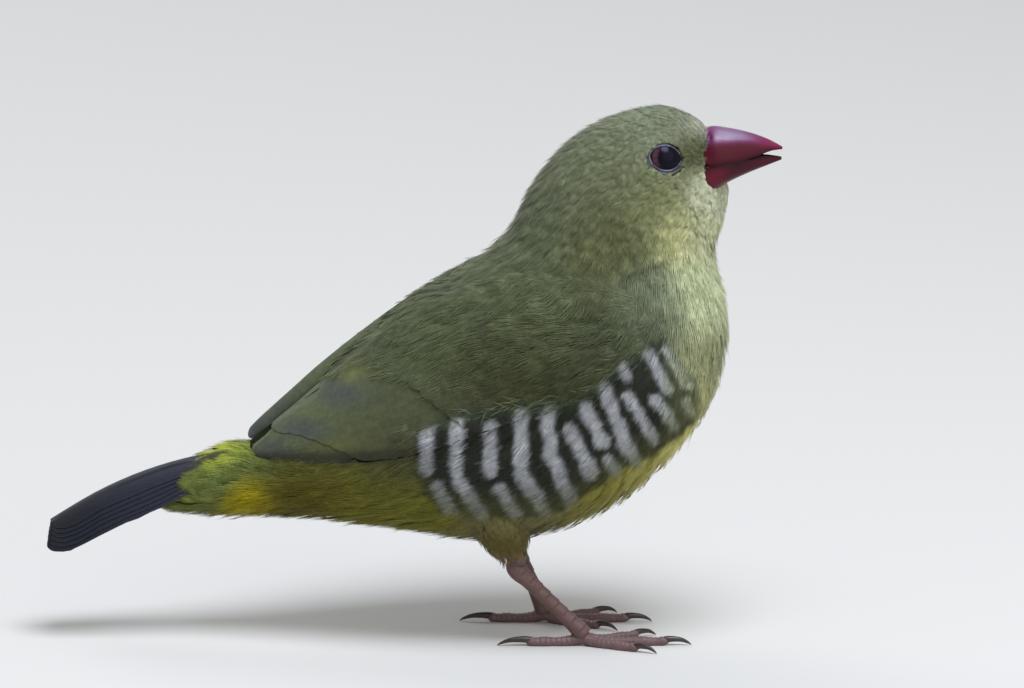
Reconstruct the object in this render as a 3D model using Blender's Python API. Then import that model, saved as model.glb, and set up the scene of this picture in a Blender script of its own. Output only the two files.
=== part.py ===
"""A green avadavat that stands on the ground, life size, as a still museum model.

The bird looks along +X and its left side is at +Y. The body is one loft whose
sections each run from a point on the back to a point on the breast or belly,
and it is parted into head, neck, torso and rump by thin plane cuts. Every
length below is in millimetres and is multiplied by MM where a mesh is made.
"""

import math

import bmesh
import bpy
from mathutils import Vector
from mathutils.bvhtree import BVHTree

MM = 0.001

# Driving sizes of the bird
GAP = 0.3
WING_LENGTH = 47.0
TAIL_LENGTH = 26.0
EYE_RADIUS = 2.4

# Body sections from the bill to the tail: back x, z, then breast or belly x, z, then half width, and
# how much narrower the section is towards the belly than towards the back
BODY_SECTIONS = [
    (33.7, 59.4, 36.1, 53.1, 0.8, 0.2),
    (33.0, 60.3, 36.2, 51.6, 1.7, 0.35),
    (31.4, 61.3, 35.9, 49.7, 2.8, 0.35),
    (28.9, 62.1, 35.5, 47.9, 4.3, 0.2),
    (25.2, 61.75, 34.8, 45.7, 6.3, 0.0),
    (20.7, 60.1, 35.0, 43.6, 7.2, 0.0),
    (16.6, 57.15, 35.5, 41.5, 8.2, 0.0),
    (13.0, 52.3, 36.1, 38.8, 9.8, 0.0),
    (10.3, 47.2, 36.2, 34.1, 11.4, 0.0),
    (4.8, 42.5, 34.3, 27.6, 12.4, 0.0),
    (-0.9, 37.3, 29.5, 20.8, 12.6, 0.0),
    (-6.7, 32.1, 21.5, 14.5, 11.9, 0.0),
    (-12.4, 27.2, 10.6, 11.4, 10.0, 0.0),
    (-17.8, 23.5, -1.5, 12.6, 7.2, 0.0),
    (-21.4, 22.9, -13.0, 13.8, 5.3, 0.0),
    (-23.4, 22.2, -22.0, 13.9, 4.3, 0.0),
    (-24.9, 21.4, -27.6, 14.3, 3.6, 0.0),
    (-26.4, 20.3, -29.6, 14.9, 2.4, 0.0),
]
BODY_RINGS = 42
BODY_SIDES = 30
BODY_FULLNESS = 2.25  # exponent of the section's superellipse
BODY_SAG = 0.045  # the widest line lies this share of the depth below the middle

# Planes that part the body: a point on the back and a point on the front
HEAD_CUT = ((14.6, 55.3), (35.2, 42.7))
NECK_CUT = ((11.3, 49.2), (36.2, 39.6))
RUMP_CUT = ((-15.3, 25.4), (-8.0, 12.0))

# Bill: x, culmen z, cutting edge z, half width of the upper half; the same with the gonys for the lower
BILL_UPPER = [
    (31.8, 58.8, 55.6, 2.2),
    (34.0, 59.65, 55.85, 3.1),
    (36.0, 59.5, 56.15, 2.85),
    (38.4, 59.0, 56.6, 2.0),
    (40.6, 58.25, 57.0, 1.1),
    (42.3, 57.35, 57.1, 0.22),
]
BILL_LOWER = [
    (32.0, 51.6, 55.3, 3.25),
    (34.0, 52.1, 55.55, 3.2),
    (36.0, 53.3, 55.9, 2.7),
    (38.4, 54.4, 56.15, 1.8),
    (40.5, 55.2, 56.25, 0.95),
    (42.2, 55.85, 56.15, 0.22),
]
BILL_STATIONS = 11
BILL_SIDES = 14
BILL_HEIGHT_POWER = 0.8  # below 1 the sides stand steeper over the cutting edges
BILL_WIDTH_POWER = {"upper": 0.9, "lower": 0.62}

# Eye and lids
EYE_PLACE = (28.9, 57.1)  # x and z where the eye meets the side of the head
LID_SINK = 0.12  # how far the middle of the lids' ring lies inside the head
EYE_BULGE = 0.35  # how far the front of the eyeball lies outside that ring's middle
LID_RADIUS = 1.72
LID_THICKNESS = 0.42
LID_STRETCH = (1.12, 0.86)  # along and across the slit of the eye
LID_TILT = -8.0
LID_SEGMENTS = 20
LID_SIDES = 6
NOSTRIL = (34.4, 58.8)  # x and z on the side of the upper bill
NOSTRIL_RADIUS = 0.36
NOSTRIL_STRETCH = (1.5, 1.0, 0.8)

# Folded wing: dorsal edge x, y, z, lower edge x, y, z, then how far it bulges, from the shoulder to the tip
WING_SECTIONS = [
    (27.3, 9.7, 40.0, 28.1, 10.0, 37.8, 0.3),
    (20.9, 9.6, 43.6, 24.7, 11.5, 33.6, 1.1),
    (11.4, 6.6, 43.5, 17.4, 12.0, 29.8, 2.0),
    (2.4, 3.0, 39.2, 8.6, 11.7, 26.6, 2.5),
    (-5.9, 0.9, 33.1, 0.4, 10.2, 23.4, 2.1),
    (-12.4, 0.45, 27.5, -8.8, 7.4, 21.8, 1.3),
    (-18.6, 0.45, 22.7, -18.4, 3.3, 21.6, 0.3),
]
LEFT_RISE = (0.0, 0.0, 0.1, 0.4, 0.9, 1.2, 0.7)  # how much higher the left wing's dorsal edge lies
LEFT_RISE_BELOW = 0.3  # the share of that rise at its lower edge

# The plain plate that a wing's vanes grow from; lengths and places along the wing are shares of it
WING_CORE = 1.1
ARM_SHARE = 0.45  # how much thicker the plate is over the arm
ARM_END = 0.42
ARM_FADE = 0.2
BEND_FADE = 0.14  # the plate rises over this length behind the bend of the wing
TIP_FADE = 0.5  # and thins out over this length towards the tip
BEND_MARGIN = 0.02
THIN_EDGE = 0.22  # least share of its height at the edges of the front half
WING_PLATE_CELLS = (12, 4)
WING_BED_CELLS = (22, 8)
WING_BED_HEIGHT = 5.0

# Vanes: places of the rings along a vane, and its half width there as a share of the widest
VANE_THICKNESS = 0.55
VANE_TIP_THICKNESS = 0.41
VANE_CAMBER = 0.12
FLIGHT_RINGS = (0.0, 0.45, 0.8, 0.94, 1.0)
COVERT_RINGS = (0.0, 0.6, 0.92, 1.0)
TAIL_RINGS = (0.0, 0.25, 0.5, 0.75, 0.95, 1.0)
VANE_OUTLINE = ((0.0, 0.5), (0.3, 0.86), (0.6, 1.0), (0.85, 0.98), (0.95, 0.7), (1.0, 0.26))
ROOT_HEIGHT = 0.55  # a vane's height over the plate at its root, as a share of its tip's
ROOT_SLOPE = 0.9

# Tiers of the wing. Each row runs from the lowest, outermost vane to the top one next to the back:
# count, root u and v, tip u and v, half width, height of the tip, each given for its first and last vane.
WING_TIERS = {
    "primary": (7, ((0.5, 0.93), (0.46, 0.66)), ((0.985, 0.80), (0.83, 0.42)), (1.5, 1.8), (0.55, 1.15)),
    "secondary": (5, ((0.3, 0.86), (0.26, 0.46)), ((0.8, 0.66), (0.755, 0.26)), (2.1, 2.3), (1.15, 1.55)),
    "tertial": (3, ((0.26, 0.4), (0.22, 0.22)), ((0.78, 0.2), (0.6, 0.16)), (2.3, 2.2), (1.65, 1.85)),
    "greater_covert": (7, ((0.2, 0.88), (0.2, 0.22)), ((0.56, 0.88), (0.5, 0.17)), (1.35, 1.5), (1.45, 2.05)),
    "median_covert": (6, ((0.08, 0.84), (0.1, 0.2)), ((0.4, 0.86), (0.33, 0.18)), (1.3, 1.5), (1.75, 2.25)),
}

# Tail: the line along its top from the root to the tip, x and z
TAIL_LINE = [(-17.6, 22.1), (-23.9, 21.2), (-30.2, 19.5), (-36.2, 16.9), (-42.2, 13.3)]
TAIL_SLOT_HALF_WIDTH = (1.9, 3.1, 4.2, 4.5, 4.2)
TAIL_ROOF = 1.05  # how far the sides fall for each millimetre outwards
TAIL_RIDGE = 1.2  # how far from the middle the roof is still round
TAIL_PAIRS = 6
TAIL_STEP = 0.15  # each pair lies this much lower than the one above it
TAIL_OVERLAP = 0.06  # the left vane of a pair lies this much over the right one
TAIL_REACH = 0.012  # each pair ends this share of the tail's length beyond the one above it
TAIL_FAN = (0.85, 0.36)  # distance of the first pair from the middle, and of each pair from the one before
TAIL_ROOT_FAN = (0.4, 0.1)  # the same at the root
TAIL_SPREAD_END = 0.5  # the vanes have spread at this share of the tail's length
TAIL_CLOSING = 0.16  # they close up again by this share towards the tip
RECTRIX_HALF_WIDTH = 1.7
TAIL_CORE_END = 0.78
TAIL_CORE_TOP = 0.3
TAIL_CORE_DEPTH = 0.9
TAIL_CORE_INSET = 0.9
TAIL_SLOT_MARGIN = 0.55

# Legs: side distance, then points x, z
LEG_SIDE = 5.9
THIGH_TOP = (10.4, 19.8)
HEEL_TOP = (11.9, 10.5)
HEEL = (11.6, 9.2)
THIGH_STEPS = ((0.0, 4.8), (0.55, 3.9), (0.85, 2.6), (1.0, 1.6))  # share of the way to the heel, radius
SHANK_RADIUS = 0.9
SHANK_STEPS = ((0.22, 0.98), (0.5, 0.92), (0.75, 0.95))  # share of the way to the ankle, share of the radius
HEEL_SIZES = (1.0, 1.1, 1.22)
ANKLE_SIZE = 1.05
ANKLE_HEIGHT = 1.5
ANKLE_STUB = (0.6, 0.3)  # the foot starts this far above the ankle and its stub ends this far below it
ANKLE_STUB_RADII = (0.9, 0.9)
FOOT_X = {"right": 19.4, "left": 15.0}
FLAT_HEIGHT = 0.42  # height of a toe's middle above the floor, under its radius
FLOOR_BLOCK = (300.0, 300.0, 20.0)

# Toes: turn from straight ahead in degrees, length, claw length, radius
TOES = [
    (-30.0, 7.2, 2.6, 0.56),
    (0.0, 9.6, 2.9, 0.6),
    (28.0, 7.0, 2.6, 0.56),
    (178.0, 6.2, 3.6, 0.62),
]
TOE_STEPS = (  # share of the toe's length, height of its middle, share of its radius
    (0.0, ANKLE_HEIGHT - 0.5, 1.25),
    (0.18, FLAT_HEIGHT + 0.2, 1.05),
    (0.34, FLAT_HEIGHT, 1.0),
    (0.52, FLAT_HEIGHT, 0.9),
    (0.7, FLAT_HEIGHT, 0.98),
    (0.88, FLAT_HEIGHT, 0.86),
    (1.0, FLAT_HEIGHT + 0.12, 0.8),
)
CLAW_STEPS = ((0.3, 0.72, 0.62), (0.62, 0.62, 0.42), (0.86, 0.32, 0.27), (1.0, 0.04, 0.14))
SMOOTH_ANGLE = 40.0


def material(name, colour, roughness, metallic=0.0):
    """A plain Principled material in the piece's own colour."""
    made = bpy.data.materials.new(name)
    made.use_nodes = True
    shader = made.node_tree.nodes["Principled BSDF"]
    shader.inputs["Base Color"].default_value = (*colour, 1.0)
    shader.inputs["Roughness"].default_value = roughness
    shader.inputs["Metallic"].default_value = metallic
    made.diffuse_color = (*colour, 1.0)
    return made


def collection(name):
    made = bpy.data.collections.new(name)
    bpy.context.scene.collection.children.link(made)
    return made


def add_object(name, mesh, group, look=None):
    made = bpy.data.objects.new(name, mesh)
    group.objects.link(made)
    if look is not None:
        mesh.materials.clear()
        mesh.materials.append(look)
    return made


def mesh_from_bmesh(name, shape):
    """A mesh whose faces all point outwards."""
    bmesh.ops.recalc_face_normals(shape, faces=shape.faces[:])
    if shape.calc_volume(signed=True) < 0:
        bmesh.ops.reverse_faces(shape, faces=shape.faces[:])
    mesh = bpy.data.meshes.new(name)
    shape.to_mesh(mesh)
    shape.free()
    return mesh


def along(rows, t):
    """The row at place t, from 0 to 1, on a smooth curve through all rows."""
    last = len(rows) - 1
    place = t * last
    first = min(max(int(math.floor(place)), 0), last - 1)
    f = place - first
    before, here = rows[max(first - 1, 0)], rows[first]
    there, after = rows[first + 1], rows[min(first + 2, last)]
    found = []
    for p0, p1, p2, p3 in zip(before, here, there, after):
        if f < 0.0 or f > 1.0:
            found.append(p1 + (p2 - p1) * f)
            continue
        curve = 2 * p1 + (p2 - p0) * f
        curve += (2 * p0 - 5 * p1 + 4 * p2 - p3) * f * f
        curve += (3 * p1 - p0 - 3 * p2 + p3) * f**3
        found.append(curve / 2)
    return found


def body_point(t, turn, grow=0.0):
    """A point of the body's surface: t from bill to tail, turn from 0 on the back to pi on the belly."""
    back_x, back_z, front_x, front_z, half_width, lean = along(BODY_SECTIONS, t)
    back, front = Vector((back_x, 0, back_z)), Vector((front_x, 0, front_z))
    down = (front - back).normalized()
    back, front = back - down * grow, front + down * grow
    power = 2 / BODY_FULLNESS
    cosine, sine = math.cos(turn), math.sin(turn)
    height = math.copysign(abs(cosine) ** power, cosine)
    share = (1 - height) / 2 + BODY_SAG * sine * sine
    side = math.copysign(abs(sine) ** power, sine) * (half_width + grow) * (1 + lean * (1 - 2 * share))
    return back.lerp(front, share) + Vector((0, side, 0))


def body_mesh(name, grow=0.0):
    """The whole body as one closed loft."""
    shape = bmesh.new()
    rings = []
    for ring in range(BODY_RINGS):
        t = ring / (BODY_RINGS - 1)
        turns = [2 * math.pi * side / BODY_SIDES for side in range(BODY_SIDES)]
        rings.append([shape.verts.new(body_point(t, turn, grow) * MM) for turn in turns])
    skin_rings(shape, rings)
    return mesh_from_bmesh(name, shape)


def skin_rings(shape, rings):
    """Joins closed rings with quads and closes both ends."""
    for first, second in zip(rings, rings[1:]):
        count = len(first)
        for i in range(count):
            shape.faces.new((first[i], first[(i + 1) % count], second[(i + 1) % count], second[i]))
    shape.faces.new(rings[0])
    shape.faces.new(rings[-1])


def plane_of(cut):
    """A cut's middle and its normal, which points towards the bill."""
    back, front = Vector((cut[0][0], 0, cut[0][1])), Vector((cut[1][0], 0, cut[1][1]))
    down = front - back
    return (back + front) / 2, Vector((-down.z, 0, down.x)).normalized()


def part_between(source, name, front_cut=None, rear_cut=None):
    """The stretch of the body behind front_cut and ahead of rear_cut, each cut half a gap away from it."""
    shape = bmesh.new()
    shape.from_mesh(source)
    for cut, side in ((front_cut, 1), (rear_cut, -1)):
        if cut is None:
            continue
        middle, normal = plane_of(cut)
        point = (middle - normal * side * GAP / 2) * MM
        everything = shape.verts[:] + shape.edges[:] + shape.faces[:]
        cut_out = bmesh.ops.bisect_plane(
            shape, geom=everything, dist=1e-7, plane_co=point, plane_no=normal * side, clear_outer=True
        )
        edges = [item for item in cut_out["geom_cut"] if isinstance(item, bmesh.types.BMEdge)]
        bmesh.ops.contextual_create(shape, geom=edges)
    return mesh_from_bmesh(name, shape)


def boolean(target, operand, operation, solver="EXACT"):
    """Applies one Boolean on an object, with an object or a collection as its operand."""
    modifier = target.modifiers.new("cut", "BOOLEAN")
    modifier.operation = operation
    modifier.solver = solver
    if isinstance(operand, bpy.types.Collection):
        modifier.operand_type = "COLLECTION"
        modifier.collection = operand
    else:
        modifier.object = operand
    graph = bpy.context.evaluated_depsgraph_get()
    mesh = bpy.data.meshes.new_from_object(target.evaluated_get(graph))
    target.modifiers.clear()
    target.data = mesh
    return target


def keep_largest(target):
    """Keeps only the object's largest closed surface."""
    shape = bmesh.new()
    shape.from_mesh(target.data)
    left = set(shape.verts)
    pieces = []
    while left:
        piece, edge = set(), [left.pop()]
        while edge:
            vert = edge.pop()
            piece.add(vert)
            for link in vert.link_edges:
                other = link.other_vert(vert)
                if other in left:
                    left.discard(other)
                    edge.append(other)
        pieces.append(piece)
    pieces.sort(key=len)
    for piece in pieces[:-1]:
        bmesh.ops.delete(shape, geom=list(piece), context="VERTS")
    shape.to_mesh(target.data)
    shape.free()


def hide_cutter(cutter):
    cutter.hide_render = True
    cutter.display_type = "WIRE"


def fuse(name, pieces, group, look, solver="EXACT"):
    """One Boolean union of closed mesh objects, under the first piece's place."""
    body, others = pieces[0], pieces[1:]
    body.name = name
    joined = bpy.data.collections.new(name + "_pieces")
    bpy.context.scene.collection.children.link(joined)
    for piece in others:
        for owner in piece.users_collection:
            owner.objects.unlink(piece)
        joined.objects.link(piece)
    boolean(body, joined, "UNION", solver)
    for piece in others:
        bpy.data.objects.remove(piece)
    bpy.data.collections.remove(joined)
    keep_largest(body)
    for owner in body.users_collection:
        owner.objects.unlink(body)
    group.objects.link(body)
    body.data.materials.clear()
    body.data.materials.append(look)
    return body


def ball(name, centre, radius, group, stretch=(1, 1, 1), segments=24, rings=16):
    shape = bmesh.new()
    bmesh.ops.create_uvsphere(shape, u_segments=segments, v_segments=rings, radius=radius * MM)
    bmesh.ops.scale(shape, verts=shape.verts[:], vec=Vector(stretch))
    made = add_object(name, mesh_from_bmesh(name, shape), group)
    made.location = Vector(centre) * MM
    bpy.context.view_layer.update()
    return made


def surface_at(mesh, x, z, sign):
    """Where a line across the bird at x and z leaves a mesh on one side, and the direction outwards there."""
    shape = bmesh.new()
    shape.from_mesh(mesh)
    tree = BVHTree.FromBMesh(shape)
    spot, outwards, _, _ = tree.ray_cast(Vector((x, sign * 50, z)) * MM, Vector((0, -sign, 0)))
    shape.free()
    return spot / MM, outwards


def lid_ring(name, spot, outwards, sign, group):
    """The ring of lid skin, an oval lying on the side of the head."""
    tilt = math.radians(LID_TILT)
    ahead = Vector((math.cos(tilt), 0, math.sin(tilt)))
    ahead = (ahead - outwards * ahead.dot(outwards)).normalized()
    up = outwards.cross(ahead) if sign < 0 else ahead.cross(outwards)
    shape = bmesh.new()
    rings = []
    for i in range(LID_SEGMENTS):
        turn = 2 * math.pi * i / LID_SEGMENTS
        on_ahead, on_up = ahead * math.cos(turn), up * math.sin(turn)
        way = on_ahead + on_up
        middle = spot + (on_ahead * LID_STRETCH[0] + on_up * LID_STRETCH[1]) * LID_RADIUS
        ring = []
        for k in range(LID_SIDES):
            round_it = 2 * math.pi * k / LID_SIDES
            spoke = way * math.cos(round_it) + outwards * math.sin(round_it)
            ring.append(shape.verts.new((middle + spoke * LID_THICKNESS) * MM))
        rings.append(ring)
    for first, second in zip(rings, rings[1:] + rings[:1]):
        for k in range(LID_SIDES):
            after = (k + 1) % LID_SIDES
            shape.faces.new((first[k], first[after], second[after], second[k]))
    return add_object(name, mesh_from_bmesh(name, shape), group)


def tube(name, points, radii, group, sides=2):
    """A closed round tube with its own radius at each point, made as a bevelled curve."""
    curve = bpy.data.curves.new(name, "CURVE")
    curve.dimensions = "3D"
    curve.bevel_depth = MM
    curve.bevel_resolution = sides
    curve.use_fill_caps = True
    spline = curve.splines.new("POLY")
    spline.points.add(len(points) - 1)
    for point, place, radius in zip(spline.points, points, radii):
        point.co = (*(Vector(place) * MM), 1.0)
        point.radius = radius
    drawn = bpy.data.objects.new(name + "_line", curve)
    group.objects.link(drawn)
    bpy.context.view_layer.update()
    graph = bpy.context.evaluated_depsgraph_get()
    mesh = bpy.data.meshes.new_from_object(drawn.evaluated_get(graph))
    shape = bmesh.new()
    shape.from_mesh(mesh)
    bmesh.ops.remove_doubles(shape, verts=shape.verts[:], dist=1e-6)
    made = add_object(name, mesh_from_bmesh(name, shape), group)
    made.matrix_world = drawn.matrix_world
    bpy.data.objects.remove(drawn)
    return made


def bill_mesh(name, rows, half, grow=0.0):
    """The upper or lower half of the bill: round over its ridge and flat along its cutting edges."""
    shape = bmesh.new()
    rings = []
    side = 1 if half == "upper" else -1
    for i in range(BILL_STATIONS):
        x, ridge, edge, half_width = along(rows, i / (BILL_STATIONS - 1))
        reach = grow if i == BILL_STATIONS - 1 else 0.0
        if i == 0:
            reach = -grow
        ring = []
        for k in range(BILL_SIDES + 1):
            turn = math.pi * k / BILL_SIDES
            height = ridge + side * 2 * grow - edge
            z = edge - side * grow + height * math.sin(turn) ** BILL_HEIGHT_POWER
            cosine = math.cos(turn)
            y = (half_width + grow) * math.copysign(abs(cosine) ** BILL_WIDTH_POWER[half], cosine)
            ring.append(shape.verts.new(Vector((x + reach, y, z)) * MM))
        rings.append(ring)
    skin_rings(shape, rings)
    return mesh_from_bmesh(name, shape)


def wing_rows(side):
    """The sections of one wing, on the bird's left side. The left wing's rear lies higher on the back."""
    if side == "right":
        return WING_SECTIONS
    rows = []
    for (x1, y1, z1, x2, y2, z2, bulge), rise in zip(WING_SECTIONS, LEFT_RISE):
        rows.append((x1, y1, z1 + rise, x2, y2, z2 + rise * LEFT_RISE_BELOW, bulge))
    return rows


def wing_edges(rows, u):
    """The dorsal and the lower edge of a wing at u, and its bulge there."""
    row = along(rows, u)
    return Vector(row[0:3]), Vector(row[3:6]), row[6]


def wing_chord(rows, u):
    top, low, _ = wing_edges(rows, u)
    return (low - top).length


def wing_point(rows, u, v, height):
    """A point on a wing: u from shoulder to tip, v from the dorsal to the lower edge, height outwards."""
    step = 0.01

    def base(u, v):
        top, low, bulge = wing_edges(rows, u)
        ahead, behind = wing_edges(rows, u - 2 * step), wing_edges(rows, u + 2 * step)
        way = ahead[0] + ahead[1] - behind[0] - behind[1]
        outwards = way.cross(low - top).normalized()
        if outwards.y < 0:
            outwards.negate()
        return top.lerp(low, v) + outwards * bulge * 4 * v * (1 - v)

    along_u = base(u + step, v) - base(u - step, v)
    along_v = base(u, v + step) - base(u, v - step)
    normal = along_u.cross(along_v).normalized()
    if normal.y + normal.z < 0:
        normal.negate()
    return base(u, v) + normal * height


def slab(name, across, count_u, count_v):
    """A closed plate: across(i, j, face) gives its points, face 0 inside and 1 outside."""
    shape = bmesh.new()
    grids = []
    for face in (0, 1):
        grid = []
        for i in range(count_u + 1):
            grid.append([shape.verts.new(across(i, j, face) * MM) for j in range(count_v + 1)])
        grids.append(grid)
    for grid in grids:
        for i in range(count_u):
            for j in range(count_v):
                a, b, c, d = grid[i][j], grid[i + 1][j], grid[i + 1][j + 1], grid[i][j + 1]
                shape.faces.new((a, b, c))
                shape.faces.new((a, c, d))
    rim = [(i, 0) for i in range(count_u)]
    rim += [(count_u, j) for j in range(count_v)]
    rim += [(i, count_v) for i in range(count_u, 0, -1)]
    rim += [(0, j) for j in range(count_v, 0, -1)]
    for (i, j), (k, m) in zip(rim, rim[1:] + rim[:1]):
        shape.faces.new((grids[0][i][j], grids[0][k][m], grids[1][k][m], grids[1][i][j]))
    return mesh_from_bmesh(name, shape)


def wing_slab(name, rows, low, high, cells, margin=0.0):
    """A plain plate along a wing between two heights, which may be functions of u and v."""
    count_u, count_v = cells

    def across(i, j, face):
        u = -margin / WING_LENGTH + (1 + 2 * margin / WING_LENGTH) * i / count_u
        rim = margin / wing_chord(rows, u)
        v = -rim + (1 + 2 * rim) * j / count_v
        height = (low, high)[face]
        return wing_point(rows, u, v, height(u, v) if callable(height) else height)

    return slab(name, across, count_u, count_v)


def between(value):
    return max(0.0, min(1.0, value))


def wing_height(u, v):
    """Thickness of the plate under the vanes: full along the arm, thin at the bend, the tip and the edges."""
    edge = max(THIN_EDGE if u < 0.5 else 0.0, between(4 * v * (1 - v)))
    ahead = between((u + BEND_MARGIN) / (BEND_MARGIN + BEND_FADE))
    behind = between((1 + BEND_MARGIN - u) / TIP_FADE)
    arm = WING_CORE * (1 + ARM_SHARE * between((ARM_END - u) / ARM_FADE))
    return VANE_THICKNESS + (arm - VANE_THICKNESS) * math.sqrt(edge * ahead) * behind


def vane_width(t):
    """A vane's half width along its length, as a share of the widest: narrow root, round tip."""
    for (t0, w0), (t1, w1) in zip(VANE_OUTLINE, VANE_OUTLINE[1:]):
        if t <= t1:
            return w0 + (w1 - w0) * (t - t0) / (t1 - t0)
    return VANE_OUTLINE[-1][1]


def vane_mesh(name, place, half_width, shares):
    """A closed feather vane with a ring at each share of its length.

    place(t, side, depth) gives a point: t from root to tip, side in millimetres, depth below its top.
    """
    shape = bmesh.new()
    rings = []
    for t in shares:
        reach = half_width * vane_width(t)
        thickness = VANE_THICKNESS if t < 0.9 else VANE_TIP_THICKNESS
        ring = [place(t, side * reach, abs(side) * VANE_CAMBER) for side in (-1, 0, 1)]
        ring += [place(t, side * reach, thickness) for side in (1, -1)]
        rings.append([shape.verts.new(point * MM) for point in ring])
    skin_rings(shape, rings)
    bmesh.ops.triangulate(shape, faces=shape.faces[:])
    return mesh_from_bmesh(name, shape)


def wing_vane(name, rows, root, tip, half_width, top, shares):
    """One feather of a wing. root and tip are u, v; top is the height of its tip."""

    def place(t, side, depth):
        u = root[0] + (tip[0] - root[0]) * t
        v = root[1] + (tip[1] - root[1]) * t
        v = min(max(v + side / wing_chord(rows, u), 0.01), 0.99)
        height = top * between(ROOT_HEIGHT + ROOT_SLOPE * t) - depth
        return wing_point(rows, min(u, 0.995), v, max(height, 0.0))

    return vane_mesh(name, place, half_width, shares)


def wing_tier_vanes(rows, group):
    """All flight feathers and wing coverts of a wing, as closed meshes."""
    made = []
    for tier, (count, roots, tips, widths, tops) in WING_TIERS.items():
        for i in range(count):
            f = i / (count - 1)
            root = [a + (b - a) * f for a, b in zip(*roots)]
            tip = [a + (b - a) * f for a, b in zip(*tips)]
            width, top = (a + (b - a) * f for a, b in (widths, tops))
            shares = COVERT_RINGS if "covert" in tier else FLIGHT_RINGS
            name = f"{tier}_{i}"
            made.append(add_object(name, wing_vane(name, rows, root, tip, width, top, shares), group))
    return made


def mirrored(mesh, name):
    """A copy of a mesh on the other side of the bird."""
    shape = bmesh.new()
    shape.from_mesh(mesh)
    for vert in shape.verts:
        vert.co.y = -vert.co.y
    return mesh_from_bmesh(name, shape)


def tail_point(u, side, height):
    """A point on the tail: u from root to tip, side in millimetres from the middle, height upwards."""
    step = 0.02
    x, z = along(TAIL_LINE, u)
    ahead, behind = along(TAIL_LINE, u - step), along(TAIL_LINE, u + step)
    length = Vector((behind[0] - ahead[0], 0, behind[1] - ahead[1])).normalized()
    up = Vector((-length.z, 0, length.x))
    if up.z < 0:
        up.negate()
    fall = TAIL_ROOF * (math.hypot(side, TAIL_RIDGE) - TAIL_RIDGE)
    return Vector((x, side, z)) + up * (height - fall)


def tail_slab(name, low, high, margin, reach, end=1.0):
    """A plain plate along the tail, from reach millimetres ahead of its root to a share of its length."""
    count_u, count_v = 8, 6

    def across(i, j, face):
        u = -reach / TAIL_LENGTH + (end + reach / TAIL_LENGTH) * i / count_u
        half_width = along([(width,) for width in TAIL_SLOT_HALF_WIDTH], max(u, 0.0))[0] + margin
        side = half_width * (2 * j / count_v - 1)
        return tail_point(u, side, (low, high)[face])

    return slab(name, across, count_u, count_v)


def tail_vane(name, pair, sign):
    """One rectrix: pair 0 is the central one, which lies on top."""
    length = 1 + TAIL_REACH * (pair - 1)
    lift = TAIL_OVERLAP if sign > 0 else 0.0
    root = TAIL_ROOT_FAN[0] + TAIL_ROOT_FAN[1] * pair
    fan = TAIL_FAN[0] + TAIL_FAN[1] * pair

    def place(t, side, depth):
        spread = between(t / TAIL_SPREAD_END)
        closing = 1 - TAIL_CLOSING * between((t - 0.6) / 0.4)
        middle = sign * (root + (fan - root) * spread) * closing
        return tail_point(length * t, middle + side, lift - TAIL_STEP * pair - depth)

    return vane_mesh(name, place, RECTRIX_HALF_WIDTH, TAIL_RINGS)


def leg_point(place, sign):
    return Vector((place[0], sign * LEG_SIDE, place[1]))


def toe_tube(name, foot_x, sign, toe, group):
    """One toe with its claw, from the foot's middle along the floor."""
    turn, length, claw, radius = toe
    start = Vector((foot_x, sign * LEG_SIDE, 0))
    heading = math.radians(turn) * sign
    forward = Vector((math.cos(heading), math.sin(heading), 0))
    steps = [(length * share, height, size) for share, height, size in TOE_STEPS]
    steps += [(length + claw * share, height, size) for share, height, size in CLAW_STEPS]
    points = [start + forward * far + Vector((0, 0, height)) for far, height, _ in steps]
    return tube(name, points, [radius * size for _, _, size in steps], group)


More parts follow.
